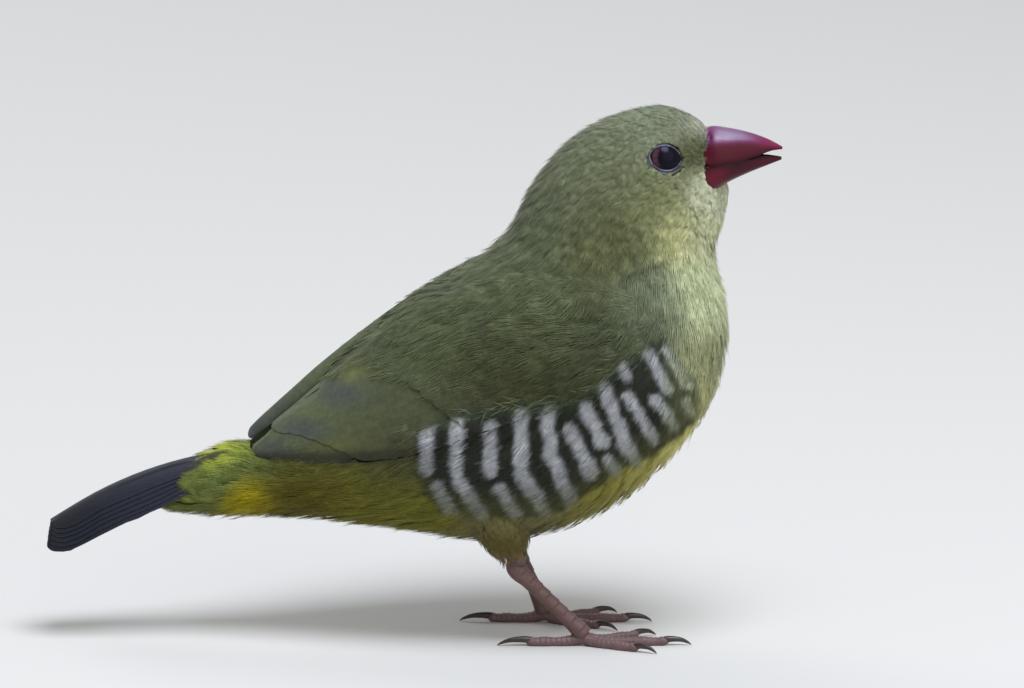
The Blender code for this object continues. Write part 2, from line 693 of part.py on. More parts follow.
def build():
    for old in list(bpy.data.objects):
        bpy.data.objects.remove(old)
    bird = collection("green_avadavat")
    cutters = collection("cutters")

    green = material("green_plumage", (0.13, 0.16, 0.07), 0.75)
    yellow = material("pale_underparts", (0.38, 0.40, 0.16), 0.75)
    dark = material("tail_feathers", (0.02, 0.022, 0.03), 0.6)
    red = material("bill_horn", (0.35, 0.02, 0.05), 0.3)
    pink = material("leg_skin", (0.35, 0.2, 0.18), 0.55)
    black = material("eye_gloss", (0.02, 0.01, 0.01), 0.05)

    whole = body_mesh("whole_body")
    head = add_object("head", part_between(whole, "head", rear_cut=HEAD_CUT), bird, green)
    add_object("neck", part_between(whole, "neck", HEAD_CUT, NECK_CUT), bird, green)
    torso = add_object("torso", part_between(whole, "torso", NECK_CUT, RUMP_CUT), bird, yellow)
    rump = add_object("rump", part_between(whole, "rump", front_cut=RUMP_CUT), bird, yellow)

    # Bill in two halves, with the head cut back from their roots
    for half, rows in (("upper", BILL_UPPER), ("lower", BILL_LOWER)):
        name = "bill_" + half
        add_object(name, bill_mesh(name, rows, half), bird, red)
        socket = add_object(name + "_socket", bill_mesh(name + "_socket", rows, half, GAP), cutters)
        hide_cutter(socket)
        boolean(head, socket, "DIFFERENCE")
    upper = bird.objects["bill_upper"]
    for name, sign in (("left", 1), ("right", -1)):
        spot, _ = surface_at(upper.data, NOSTRIL[0], NOSTRIL[1], sign)
        pit = ball("nostril_" + name, spot, NOSTRIL_RADIUS, cutters, NOSTRIL_STRETCH, segments=10, rings=6)
        boolean(upper, pit, "DIFFERENCE")
        hide_cutter(pit)

    # Eyes in sockets, with a raised ring of lid round each
    for name, sign in (("left", 1), ("right", -1)):
        spot, outwards = surface_at(whole, EYE_PLACE[0], EYE_PLACE[1], sign)
        outwards = (2 * outwards + Vector((0, sign, 0))).normalized()
        spot -= outwards * LID_SINK
        centre = spot - outwards * (EYE_RADIUS - EYE_BULGE)
        lid = lid_ring("lid_" + name, spot, outwards, sign, cutters)
        boolean(head, lid, "UNION")
        bpy.data.objects.remove(lid)
        socket = ball("socket_" + name, centre, EYE_RADIUS + GAP, cutters, segments=16, rings=10)
        boolean(head, socket, "DIFFERENCE")
        hide_cutter(socket)
        eye = ball("eye_" + name, centre, EYE_RADIUS, bird, segments=20, rings=12)
        eye.data.materials.append(black)
    keep_largest(head)

    # Wings lie in shallow beds cut into the torso and rump
    for side in ("left", "right"):
        rows = wing_rows(side)
        name = "wing_" + side
        core = add_object(name, wing_slab(name, rows, 0.0, wing_height, WING_PLATE_CELLS), cutters)
        wing = fuse(name, [core, *wing_tier_vanes(rows, cutters)], bird, green)
        bed = wing_slab("bed_" + side, rows, -GAP, WING_BED_HEIGHT, WING_BED_CELLS, margin=GAP)
        if side == "right":
            wing.data = mirrored(wing.data, name)
            bed = mirrored(bed, "bed_right")
        cutter = add_object("bed_" + side, bed, cutters)
        hide_cutter(cutter)
        for target in (torso, rump):
            boolean(target, cutter, "DIFFERENCE")

    # Tail between the upper and lower coverts
    plate = tail_slab("tail", -TAIL_CORE_DEPTH, -TAIL_CORE_TOP, -TAIL_CORE_INSET, -GAP, TAIL_CORE_END)
    core = add_object("tail", plate, cutters)
    vanes = [(pair, sign) for pair in range(TAIL_PAIRS) for sign in (1, -1)]
    vanes = [add_object("rectrix", tail_vane("rectrix", *vane), cutters) for vane in vanes]
    fuse("tail", [core, *vanes], bird, dark)
    low = -VANE_THICKNESS - TAIL_STEP * (TAIL_PAIRS - 1) - GAP
    slot = tail_slab("tail_slot", low, TAIL_OVERLAP + GAP, TAIL_SLOT_MARGIN, GAP)
    slot = add_object("tail_slot", slot, cutters)
    hide_cutter(slot)
    boolean(rump, slot, "DIFFERENCE")
    for target in (torso, rump):
        keep_largest(target)

    # Legs: feathered thigh, bare shank, foot with four toes
    grown = add_object("grown_body", body_mesh("grown_body", GAP), cutters)
    hide_cutter(grown)
    bpy.ops.mesh.primitive_cube_add(size=1.0, location=(0, 0, -FLOOR_BLOCK[2] / 2 * MM))
    floor = bpy.context.object
    floor.name = "under_floor"
    floor.scale = [side * MM for side in FLOOR_BLOCK]
    bpy.ops.object.transform_apply(scale=True)
    for owner in floor.users_collection:
        owner.objects.unlink(floor)
    cutters.objects.link(floor)
    hide_cutter(floor)
    for name, sign in (("left", 1), ("right", -1)):
        build_leg(name, sign, bird, grown, floor, yellow, pink)

    for piece in bird.objects:
        piece.data.shade_smooth()
        piece.data.set_sharp_from_angle(angle=math.radians(SMOOTH_ANGLE))
    centre_on_origin(bird)


def build_leg(name, sign, bird, grown, floor, feather_look, skin_look):
    """One leg, from the belly to the claws."""
    top, low = leg_point(THIGH_TOP, sign), leg_point(HEEL_TOP, sign)
    points = [top.lerp(low, share) for share, _ in THIGH_STEPS]
    thigh = tube("thigh_" + name, points, [radius for _, radius in THIGH_STEPS], bird, sides=5)
    thigh.data.materials.append(feather_look)
    boolean(thigh, grown, "DIFFERENCE")
    keep_largest(thigh)

    foot_x = FOOT_X[name]
    ankle = Vector((foot_x, sign * LEG_SIDE, ANKLE_HEIGHT))
    heel = leg_point(HEEL, sign)
    shank_start = low + (heel - low).normalized() * GAP
    shank_way = (ankle - heel).normalized()
    shank_end = ankle - shank_way * (GAP + ANKLE_STUB[0])
    points = [shank_start, low.lerp(heel, 0.6), heel + shank_way * 0.4]
    points += [heel.lerp(ankle, share) for share, _ in SHANK_STEPS] + [shank_end]
    sizes = (*HEEL_SIZES, *[size for _, size in SHANK_STEPS], ANKLE_SIZE)
    shank = tube("shank_" + name, points, [SHANK_RADIUS * size for size in sizes], bird, sides=3)
    shank.data.materials.append(skin_look)

    stub = (ankle - shank_way * ANKLE_STUB[0], ankle + shank_way * ANKLE_STUB[1])
    pieces = [tube("foot_" + name, stub, ANKLE_STUB_RADII, bird, sides=3)]
    for number, toe in enumerate(TOES):
        pieces.append(toe_tube(f"toe_{number}_{name}", foot_x, sign, toe, bird))
    foot = fuse("foot_" + name, pieces, bird, skin_look)
    boolean(foot, floor, "DIFFERENCE")
    keep_largest(foot)


def centre_on_origin(group):
    """Moves every piece so that the origin is under the middle of the bird's box, on the floor."""
    bpy.context.view_layer.update()
    corners = [piece.matrix_world @ vert.co for piece in group.objects for vert in piece.data.vertices]
    middle_x = (min(c.x for c in corners) + max(c.x for c in corners)) / 2
    middle_y = (min(c.y for c in corners) + max(c.y for c in corners)) / 2
    for piece in group.objects:
        piece.location = piece.location - Vector((middle_x, middle_y, 0))


build()
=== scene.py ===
import math

import bpy
import numpy as np
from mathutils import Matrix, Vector
from mathutils.bvhtree import BVHTree
from mathutils.kdtree import KDTree


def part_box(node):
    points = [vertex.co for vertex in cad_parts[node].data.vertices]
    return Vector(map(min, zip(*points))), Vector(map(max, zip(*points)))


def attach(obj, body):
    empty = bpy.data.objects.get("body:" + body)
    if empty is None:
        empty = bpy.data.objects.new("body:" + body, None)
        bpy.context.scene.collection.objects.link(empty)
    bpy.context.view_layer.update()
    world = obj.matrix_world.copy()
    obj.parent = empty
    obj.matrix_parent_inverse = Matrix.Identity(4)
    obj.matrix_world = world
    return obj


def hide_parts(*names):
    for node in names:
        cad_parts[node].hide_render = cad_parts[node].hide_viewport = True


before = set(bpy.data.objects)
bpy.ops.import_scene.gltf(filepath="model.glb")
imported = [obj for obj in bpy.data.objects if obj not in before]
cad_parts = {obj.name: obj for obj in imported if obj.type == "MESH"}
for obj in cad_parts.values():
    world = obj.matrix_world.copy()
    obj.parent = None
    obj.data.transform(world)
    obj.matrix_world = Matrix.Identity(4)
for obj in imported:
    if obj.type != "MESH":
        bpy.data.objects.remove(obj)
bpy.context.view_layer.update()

# Skin of the head, neck, trunk and thighs. On the real bird it is one thin sheet over the flesh.
# Here it is a loft through sections that run from the back to the breast, with the thighs grown
# into it, and it lies under the outline of the plumage by the depth of the feathers. Millimetres.
MM = 0.001
BILL_TIP_X = 42.3
CENTRING = np.array([BILL_TIP_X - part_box("bill_upper")[1].x / MM, 0.0, 0.0])
BODY_SECTIONS = np.array([  # back x, z, front x, z, half width, narrowing towards the front
    (33.7, 59.4, 36.1, 53.1, 0.8, 0.2),
    (33.0, 60.3, 36.2, 51.6, 1.8, 0.45),
    (31.4, 61.3, 35.9, 49.7, 2.9, 0.42),
    (28.9, 62.1, 35.5, 47.9, 4.3, 0.2),
    (25.2, 61.75, 34.8, 45.7, 6.3, 0.0),
    (20.7, 60.1, 35.0, 43.6, 7.2, 0.0),
    (16.6, 57.15, 35.5, 41.5, 8.2, 0.0),
    (13.0, 52.3, 36.1, 38.8, 9.8, 0.0),
    (10.3, 47.2, 36.2, 34.1, 11.4, 0.0),
    (4.8, 42.5, 34.3, 27.6, 12.4, 0.0),
    (-0.9, 37.3, 29.5, 20.8, 12.6, 0.0),
    (-6.7, 32.1, 21.5, 14.5, 11.9, 0.0),
    (-12.4, 27.2, 10.6, 11.4, 10.0, 0.0),
    (-17.8, 23.5, -1.5, 12.6, 7.2, 0.0),
    (-21.4, 22.9, -13.0, 13.8, 5.3, 0.0),
    (-23.4, 22.2, -22.0, 13.9, 4.3, 0.0),
    (-24.9, 21.4, -27.6, 14.3, 3.6, 0.0),
    (-26.4, 20.3, -29.6, 14.9, 2.4, 0.0),
])
FULLNESS = 2.25  # 2 would give elliptical sections
SAG = 0.045
COAT_DEPTH = np.array([  # depth of the plumage at each section
    0.14, 0.2, 0.28, 0.4, 0.5, 0.6, 0.7, 0.8, 0.95, 1.05, 1.1, 1.1, 1.1, 1.1, 1.0, 0.9, 0.8, 0.7,
])[:, None]
THIGH_TOP = np.array((8.4, 5.9, 19.8))
THIGH_LOW = np.array((11.4, 5.9, 10.5))
THIGH_RADII = np.array([(0.0, 4.6), (0.55, 3.9), (0.85, 2.8), (1.0, 1.8)])  # share of the way down, radius
THIGH_DEPTH = 0.5
FULL_TURN = 2 * math.pi
BODY_STEPS = (0.004, 0.02)  # small steps along and round the body that give its slopes
BODY_GRID = (140, 96)
THIGH_GRID = (30, 28)
SKIN_VOXEL = 0.42
SIGHT = math.radians(12)  # the markings are laid out as seen from this far above the level


def along(rows, t):
    """The rows at places t, from 0 to 1, on a smooth curve through all rows."""
    last = len(rows) - 1
    place = np.asarray(t, float) * last
    first = np.clip(np.floor(place).astype(int), 0, last - 1)
    f = (place - first)[..., None]
    before, here = rows[np.maximum(first - 1, 0)], rows[first]
    there, after = rows[first + 1], rows[np.minimum(first + 2, last)]
    curve = 2 * here + (there - before) * f
    curve = curve + (2 * before - 5 * here + 4 * there - after) * f**2
    curve = curve + (3 * here - before - 3 * there + after) * f**3
    return np.where((f < 0) | (f > 1), here + (there - here) * f, curve / 2)


def outer_body(t, turn):
    """Points on the outline of the plumage: t from bill to tail, turn from 0 on the back to pi below."""
    rows = np.moveaxis(along(BODY_SECTIONS, t), -1, 0)
    back_x, back_z, front_x, front_z, half_width, lean = rows
    cosine, sine = np.cos(turn), np.sin(turn)
    corner = (np.abs(cosine) ** FULLNESS + np.abs(sine) ** FULLNESS) ** (1 / FULLNESS)
    height, side = cosine / corner, sine / corner
    share = (1 - height) / 2 + SAG * np.abs(side) ** FULLNESS
    y = side * half_width * (1 + lean * (1 - 2 * share))
    x = back_x + (front_x - back_x) * share
    z = back_z + (front_z - back_z) * share
    return np.stack([x, y, z], -1) - CENTRING


def outer_thigh(share, turn):
    """Points on the left thigh: share from its top to the heel, turn round it."""
    share = np.asarray(share, float)[..., None]
    way = THIGH_LOW - THIGH_TOP
    way = way / np.linalg.norm(way)
    across = np.array((0.0, 1.0, 0.0))
    ahead = np.cross(way, across)
    radius = np.interp(share, *THIGH_RADII.T)
    spoke = ahead * np.cos(turn)[..., None] - across * np.sin(turn)[..., None]
    return THIGH_TOP + (THIGH_LOW - THIGH_TOP) * share + spoke * radius - CENTRING


def unit(vectors):
    return vectors / np.maximum(np.linalg.norm(vectors, axis=-1, keepdims=True), 1e-12)


def frame_on(surface, p, q, steps=BODY_STEPS):
    """A surface's points, its slopes along p and along q, and its outward normals."""
    step_p, step_q = steps
    along_p = (surface(p + step_p, q) - surface(p - step_p, q)) / (2 * step_p)
    along_q = (surface(p, q + step_q) - surface(p, q - step_q)) / (2 * step_q)
    return surface(p, q), along_p, along_q, unit(np.cross(along_q, along_p))


def grid_of(p, q):
    """Every pair of a value of p and a value of q, row by row."""
    return [grid.ravel() for grid in np.meshgrid(p, q, indexing="ij")]


def round_ring(count):
    """Turns that are spread evenly round a ring."""
    return np.linspace(0, FULL_TURN, count, endpoint=False)


def grid_faces(rows, columns, closed):
    """Quads of a grid of points; closed joins its last column to its first."""
    row, column = grid_of(np.arange(rows - 1), np.arange(columns if closed else columns - 1))
    start, after = row * columns, (column + 1) % columns
    return np.stack([start + column, start + after, start + columns + after, start + columns + column], -1)


def capped(quads, rows, columns):
    """Triangles of a closed grid with a fan over each of its open ends."""
    ring = np.arange(1, columns - 1)
    first = np.stack([0 * ring, ring + 1, ring], 1)
    last = np.stack([0 * ring, ring, ring + 1], 1) + (rows - 1) * columns
    return np.concatenate([quads[:, [0, 1, 2]], quads[:, [0, 2, 3]], first, last])


def joined(parts):
    """Several meshes, each given as points, faces and facts about its points, as one."""
    starts = np.cumsum([0] + [len(part[0]) for part in parts])
    columns = list(zip(*parts))
    columns[1] = [faces + start for faces, start in zip(columns[1], starts)]
    return [np.concatenate(column) for column in columns]


def mesh_of(name, points, faces, normals=None):
    """A smooth-shaded mesh from points in millimetres and faces of one size."""
    mesh = bpy.data.meshes.new(name)
    corners = faces.shape[1]
    mesh.vertices.add(len(points))
    mesh.vertices.foreach_set("co", (points * MM).astype(np.float32).ravel())
    mesh.loops.add(faces.size)
    mesh.loops.foreach_set("vertex_index", faces.astype(np.int32).ravel())
    mesh.polygons.add(len(faces))
    mesh.polygons.foreach_set("loop_start", np.arange(0, faces.size, corners, dtype=np.int32))
    mesh.update(calc_edges=True)
    mesh.validate()
    mesh.polygons.foreach_set("use_smooth", np.ones(len(mesh.polygons), bool))
    if normals is not None:
        mesh.normals_split_custom_set_from_vertices(normals.astype(np.float32))
    return mesh


def lay(mesh, name, values):
    """Keeps a number or a colour for each vertex under a name that materials read."""
    values = np.asarray(values, np.float32)
    if values.ndim == 1:
        mesh.attributes.new(name, "FLOAT", "POINT").data.foreach_set("value", values)
        return
    colours = np.concatenate([values, np.ones((len(values), 1), np.float32)], 1)
    mesh.color_attributes.new(name, "FLOAT_COLOR", "POINT").data.foreach_set("color", colours.ravel())


def placed(name, data):
    """A new object in the scene."""
    made = bpy.data.objects.new(name, data)
    bpy.context.scene.collection.objects.link(made)
    return made


def piece(name, mesh, look, slot, *nodes):
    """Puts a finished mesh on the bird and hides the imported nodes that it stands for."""
    made = placed(name, mesh)
    mesh.materials.append(look)
    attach(made, "root")
    if nodes:
        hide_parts(*nodes)


def soft_noise(points, size, seed):
    """Smooth random values from -1 to 1 that change over about size millimetres."""
    cell = points / size + seed * 7.31
    low = np.floor(cell).astype(np.int64)
    f = cell - low
    f = f * f * (3 - 2 * f)
    total = np.zeros(len(points))
    for corner in range(8):
        step = np.array([corner & 1, corner >> 1 & 1, corner >> 2 & 1])
        key = (low + step) @ np.array([73856093, 19349663, 83492791]) + seed * 2654435761
        key = (key ^ key >> 15) * 2246822519 & 0xFFFFFFFF
        key = (key ^ key >> 13) * 3266489917 & 0xFFFFFFFF
        weight = np.prod(np.where(step == 1, f, 1 - f), -1)
        total += weight * ((key >> 8 & 0xFFFF) / 32767.5 - 1)
    return total


def linear(*colour):
    """A colour given from 0 to 255 as the light that it stands for."""
    share = np.array(colour, float) / 255
    return np.where(share <= 0.04045, share / 12.92, ((share + 0.055) / 1.055) ** 2.4)


def ramp(value, low, high):
    share = np.clip((value - low) / (high - low), 0, 1)
    return share * share * (3 - 2 * share)


def toward(colour, other, share):
    """Colours moved a share of the way to another colour."""
    return colour + (other - colour) * share[:, None]


def seen_height(points):
    """How high points of the bird look from its side, a little above the level."""
    return points[:, 2] * math.cos(SIGHT) - np.abs(points[:, 1]) * math.sin(SIGHT)


# Feather tracts: x, height as seen, reach of the tract, colour
TRACTS = {
    "culmen_base": (33.0, 58.7, 0.9, (176, 179, 158)),
    "forehead": (31.2, 59.8, 1.5, (136, 139, 120)),
    "crown": (26.0, 59.8, 3.2, (118, 127, 104)),
    "hind_crown": (19.5, 56.6, 3.4, (112, 118, 94)),
    "nape": (14.6, 50.8, 4.0, (102, 108, 82)),
    "mantle": (9.5, 44.0, 4.5, (96, 104, 79)),
    "back": (-2.0, 35.0, 5.5, (88, 96, 66)),
    "lower_back": (-12.0, 27.5, 4.5, (90, 97, 60)),
    "rump": (-19.5, 22.2, 1.2, (128, 140, 50)),
    "rump_spot": (-23.0, 21.6, 1.3, (178, 184, 48)),
    "brow": (28.5, 59.2, 1.8, (106, 112, 84)),
    "lores": (31.6, 55.6, 1.3, (77, 79, 49)),
    "ear": (22.5, 53.4, 2.8, (102, 108, 76)),
    "cheek": (27.4, 49.6, 2.6, (118, 123, 86)),
    "chin": (34.0, 49.8, 1.7, (190, 194, 164)),
    "throat": (34.0, 45.8, 1.8, (202, 206, 168)),
    "throat_side": (30.4, 46.0, 1.8, (180, 180, 126)),
    "neck_side": (22.0, 44.8, 3.0, (92, 96, 60)),
    "breast_front": (34.0, 39.0, 2.6, (194, 203, 160)),
    "breast_side": (27.0, 38.0, 2.6, (110, 119, 95)),
    "breast_low": (33.6, 30.5, 2.6, (158, 162, 124)),
    "breast_foot": (33.2, 26.6, 2.4, (172, 174, 116)),
    "belly_edge": (31.2, 22.6, 2.4, (208, 203, 122)),
    "belly_front": (28.0, 18.4, 2.6, (172, 166, 88)),
    "belly": (23.0, 14.6, 3.4, (134, 129, 56)),
    "lower_belly": (13.0, 11.0, 3.4, (108, 103, 64)),
    "flank_rear": (-2.0, 20.6, 2.6, (71, 72, 53)),
    "vent": (-4.0, 14.4, 3.6, (106, 104, 28)),
    "undertail": (-13.0, 15.4, 3.0, (86, 80, 17)),
    "tail_root": (-17.6, 19.4, 1.4, (84, 94, 46)),
    "tail_side": (-22.0, 18.6, 1.6, (98, 112, 58)),
    "undertail_spot": (-18.9, 15.4, 1.6, (150, 136, 0)),
    "undertail_end": (-26.4, 16.6, 2.2, (100, 108, 50)),
    "scapulars": (11.0, 39.0, 4.0, (92, 100, 69)),
    "wing_bend": (23.0, 34.5, 3.0, (72, 78, 54)),
    "wing_middle": (10.0, 32.0, 4.0, (61, 65, 39)),
    "wing_low": (8.0, 27.0, 2.4, (68, 70, 46)),
    "wing_rear": (-3.0, 30.0, 3.4, (78, 84, 57)),
    "covert_corner": (-6.6, 29.9, 0.8, (136, 142, 62)),
}
TRACT_PLACES = np.array([tract[:3] for tract in TRACTS.values()])
TRACT_COLOURS = np.array([linear(*tract[3]) for tract in TRACTS.values()])

# White bars of the flank, each from its top to its lower end: x and height as seen
FLANK_BARS = [
    ((1.5, 23.9), (1.5, 18.6)),
    ((2.5, 17.6), (4.6, 13.1)),
    ((4.9, 25.0), (5.0, 18.2), (8.2, 13.3)),
    ((8.7, 24.4), (8.9, 18.4)),
    ((9.7, 17.3), (12.2, 13.1)),
    ((12.3, 26.1), (12.3, 18.8), (15.4, 13.4)),
    ((15.4, 26.4), (15.8, 20.8), (18.6, 14.0)),
    ((17.7, 24.2), (20.6, 18.0)),
    ((19.6, 26.5), (21.8, 21.8)),
    ((22.0, 20.6), (23.2, 18.4)),
    ((21.7, 28.8), (24.2, 22.0), (25.9, 19.4)),
    ((23.8, 31.2), (24.5, 29.6)),
    ((24.3, 27.8), (27.9, 22.0)),
    ((26.6, 32.8), (29.4, 27.7)),
    ((27.4, 27.6), (30.2, 23.6)),
    ((28.7, 33.2), (31.7, 28.2)),
    ((31.0, 27.2), (31.9, 25.4)),
]
REAR_BAR_WIDTH, FRONT_BAR_WIDTH = 0.76, 0.66
FRONT_BARS_FROM = 22.0
BAR_DARK, BAR_WHITE = (40, 42, 34), (176, 179, 183)
# Tints that the dark and the white bars fade into, and how far: at the breast, at their foot, at the wing
BAR_FADES = [
    ((92, 98, 70), 0.75, (152, 160, 122), 0.8),
    ((74, 75, 40), 0.75, (110, 114, 86), 0.75),
    ((62, 76, 58), 0.7, (122, 134, 110), 0.55),
]
FLANK_TOP = np.array([
    (-0.6, 22.2), (0.4, 23.8), (4.8, 25.2), (12.3, 26.6), (18.6, 27.0), (21.6, 29.2), (23.7, 31.6),
    (26.5, 33.4), (28.8, 33.8), (32.4, 29.2), (33.4, 26.0),
])
FLANK_FOOT = np.array([
    (-0.6, 20.0), (1.0, 16.6), (3.1, 14.0), (10.0, 13.2), (16.9, 14.1), (21.5, 17.2), (26.1, 19.8),
    (30.7, 22.8), (33.4, 25.6),
])
# The dark bases of the tail feathers show between the coverts above and below them
TAIL_BASE_TOP = np.array([(-27.0, 19.9), (-24.3, 20.8), (-20.7, 21.4)])
TAIL_BASE_FOOT = np.array([
    (-29.6, 15.3), (-28.5, 16.3), (-26.9, 18.2), (-24.7, 19.6), (-22.5, 20.3), (-20.7, 21.2),
])
TAIL_BASE_COLOUR = (34, 38, 50)
WING_SHADE = ((-17.0, 20.4), (-8.0, 20.3), (-0.8, 21.0))  # painted shadow just under the folded wing's lower edge: x and height as seen
# Painted shadows along two creases at the neck and upper breast, each a line of points: x and height as seen
CREASE_SHADOWS = [((22.6, 47.5), (25.0, 46.5), (27.6, 45.3)), ((23.9, 40.8), (26.5, 41.9), (30.0, 43.0))]
# Heights between which the thigh's olive-brown, and then the pinkish brown just above the heel, come in
THIGH_TINTS = [(14.8, 12.6, (92, 84, 40)), (11.8, 9.8, (114, 90, 70))]


def near_line(x, height, line, width, short=0.0):
    """1 on a line through points and 0 beyond its soft edge; short cuts its two ends off."""
    best = np.full(len(x), np.inf)
    line = np.array(line, float)
    for end, inner in ((0, 1), (-1, -2)):
        way = line[inner] - line[end]
        line[end] += way * min(short / np.linalg.norm(way), 0.25)
    for (x0, z0), (x1, z1) in zip(line, line[1:]):
        share = ((x - x0) * (x1 - x0) + (height - z0) * (z1 - z0)) / ((x1 - x0) ** 2 + (z1 - z0) ** 2)
        share = np.clip(share, 0, 1)
        best = np.minimum(best, np.hypot(x - x0 - share * (x1 - x0), height - z0 - share * (z1 - z0)))
    return 1 - ramp(best, width * 0.58, width * 1.42)


def barred(points, x, height, top, foot):
    """The black and white of the flank between its upper and lower border."""
    white = np.zeros(len(x))
    x_bar = x + 0.22 * soft_noise(points, 1.5, 7) + 0.14 * soft_noise(points, 0.5, 8)
    height_bar = height + 0.3 * soft_noise(points, 0.7, 19)
    uneven = 1 + 0.2 * soft_noise(points, 1.8, 20) + 0.12 * soft_noise(points, 0.5, 21)
    for bar in FLANK_BARS:
        width = (REAR_BAR_WIDTH if bar[0][0] < FRONT_BARS_FROM else FRONT_BAR_WIDTH) * uneven
        white = np.maximum(white, near_line(x_bar, height_bar, bar, width, short=0.6))
    low_grey = (1 - 0.3 * ramp(-height, -20.5, -15.0)) * (1 - 0.25 * ramp(-x, -4.0, -1.0))
    dark_bar = linear(*BAR_DARK) * (1 + 1.2 * ramp(height, 27.0, 32.0))[:, None]
    white_bar = linear(*BAR_WHITE) * (low_grey * (1 + 0.16 * soft_noise(points, 0.6, 9)))[:, None]
    faded = [ramp(x, 27.8, 30.4), 1 - ramp(height - foot, 0.4, 4.4), 1 - ramp(top - height, 0.1, 1.8)]
    for share, (dark, dark_share, pale, pale_share) in zip(faded, BAR_FADES):
        dark_bar = toward(dark_bar, linear(*dark), dark_share * share)
        white_bar = toward(white_bar, linear(*pale), pale_share * share)
    return toward(dark_bar, white_bar, white)


def plumage(points):
    """The plumage's colour at points of the bird, the same on skin and feathers and alike on both sides, with
    painted shade in the creases of the neck and under the folded wing.
    """
    x, side, height = points[:, 0] + CENTRING[0], np.abs(points[:, 1]), seen_height(points)
    x_soft = x + 0.35 * soft_noise(points, 2.2, 1)
    height_soft = height + 0.35 * soft_noise(points, 2.2, 2)
    far = np.hypot(x_soft[:, None] - TRACT_PLACES[:, 0], height_soft[:, None] - TRACT_PLACES[:, 1])
    weight = np.exp(-0.5 * (far / TRACT_PLACES[:, 2]) ** 2) + 1e-5 / (1 + far**2)
    mottle = 1 + 0.1 * soft_noise(points, 1.1, 3) + 0.07 * soft_noise(points, 0.45, 4)
    colour = weight @ TRACT_COLOURS / weight.sum(1, keepdims=True) * mottle[:, None]

    ragged = 0.45 * soft_noise(points, 1.0, 5) + 0.25 * soft_noise(points, 0.4, 6)
    top, foot = [np.interp(x, *line.T) + ragged for line in (FLANK_TOP, FLANK_FOOT)]
    patch = ramp(height, foot - 0.5, foot + 0.5) * (1 - ramp(height, top - 0.5, top + 0.5))
    patch *= ramp(x, -0.5, 0.7) * (1 - ramp(x, 31.6, 34.0)) * ramp(side, 2.0, 4.5)
    colour = toward(colour, barred(points, x, height, top, foot), patch)

    ragged = 0.5 * soft_noise(points, 0.9, 24)
    base_foot = np.interp(x, *TAIL_BASE_FOOT.T) + ragged
    base_top = np.interp(x, *TAIL_BASE_TOP.T) + 0.4 * ragged
    tail_base = ramp(height, base_foot - 0.25, base_foot + 0.25) * (1 - ramp(x, -22.0, -20.6))
    tail_base *= (1 - ramp(height, base_top - 0.2, base_top + 0.2)) * ramp(side, 0.8, 1.6)
    colour = toward(colour, linear(*TAIL_BASE_COLOUR), 0.9 * tail_base)

    on_thigh = ramp(side, 2.8, 4.2) * (1 - ramp(np.abs(x - 10.8), 3.8, 4.8))
    for high, low, tint in THIGH_TINTS:
        reached = ramp(-points[:, 2] + 0.3 * soft_noise(points, 0.6, 25), -high, -low)
        colour = toward(colour, linear(*tint), on_thigh * reached)
    # Painted shade along the creases
    for crease_shadow in CREASE_SHADOWS:
        colour = colour * (1 - 0.42 * near_line(x, height, crease_shadow, 0.3))[:, None]
    # Painted shadow in a band just under the folded wing's lower edge
    return colour * (1 - 0.35 * near_line(x, height, WING_SHADE, 0.45) * ramp(side, 1.5, 3.0))[:, None]


def connect(look, node, sockets):
    """Sets a node's sockets to numbers, or joins them to the sockets of other nodes."""
    for socket, value in sockets.items():
        if isinstance(value, bpy.types.NodeSocket):
            look.node_tree.links.new(value, node.inputs[socket])
        else:
            node.inputs[socket].default_value = value


def add_node(look, kind, sockets=None, **settings):
    node = look.node_tree.nodes.new("ShaderNode" + kind)
    for setting, value in settings.items():
        setattr(node, setting, value)
    connect(look, node, sockets or {})
    return node


def new_look(name, finish):
    """A material whose shader has the numbers of a finish."""
    look = bpy.data.materials.new(name)
    look.use_nodes = True
    connect(look, look.node_tree.nodes["Principled BSDF"], finish)
    return look


def pattern(look, kind, size, stretch=(1, 1, 1), **detail):
    """Noise or cells of a size in millimetres, laid on by the mesh's own coordinates."""
    place = add_node(look, "TexCoord").outputs["Object"]
    if stretch != (1, 1, 1):
        place = add_node(look, "Mapping", {"Vector": place, "Scale": stretch}).outputs["Vector"]
    made = add_node(look, "Tex" + kind, {"Vector": place, "Scale": 1 / (size * MM), **detail})
    return made.outputs["Distance" if kind == "Voronoi" else "Fac"]


def paint(look, layer, shade=None, levels=None):
    """Puts a mesh's painted colours on the shader; a pattern between two levels darkens and lightens them."""
    colour = add_node(look, "Attribute", attribute_name=layer).outputs["Color"]
    if shade is not None:
        sockets = dict(zip(("From Min", "From Max", "To Min", "To Max"), levels))
        level = add_node(look, "MapRange", {"Value": shade, **sockets}).outputs["Result"]
        scaled = {0: colour, "Scale": level}
        colour = add_node(look, "VectorMath", scaled, operation="SCALE").outputs["Vector"]
    connect(look, look.node_tree.nodes["Principled BSDF"], {"Base Color": colour})


def emboss(look, relief, strength, depth):
    """Raises a pattern on the surface as fine bump, its depth in millimetres."""
    bump = add_node(look, "Bump", {"Height": relief, "Strength": strength, "Distance": depth * MM})
    connect(look, look.node_tree.nodes["Principled BSDF"], {"Normal": bump.outputs["Normal"]})


def feather_look(name, grain, gloss):
    """Matt plumage: the painted markings, broken up by the fine grain of the barbs, with a soft sheen."""
    look = new_look(name, {
        "Roughness": gloss, "Specular IOR Level": 0.2, "Sheen Weight": 0.08, "Sheen Roughness": 0.45,
        "Sheen Tint": (0.86, 0.92, 0.8, 1),
    })
    paint(look, "plumage", pattern(look, "Noise", grain * 4, Detail=3), (0.3, 0.7, 0.82, 1.16))
    emboss(look, pattern(look, "Noise", grain, Detail=2), 0.35, 0.06)
    return look


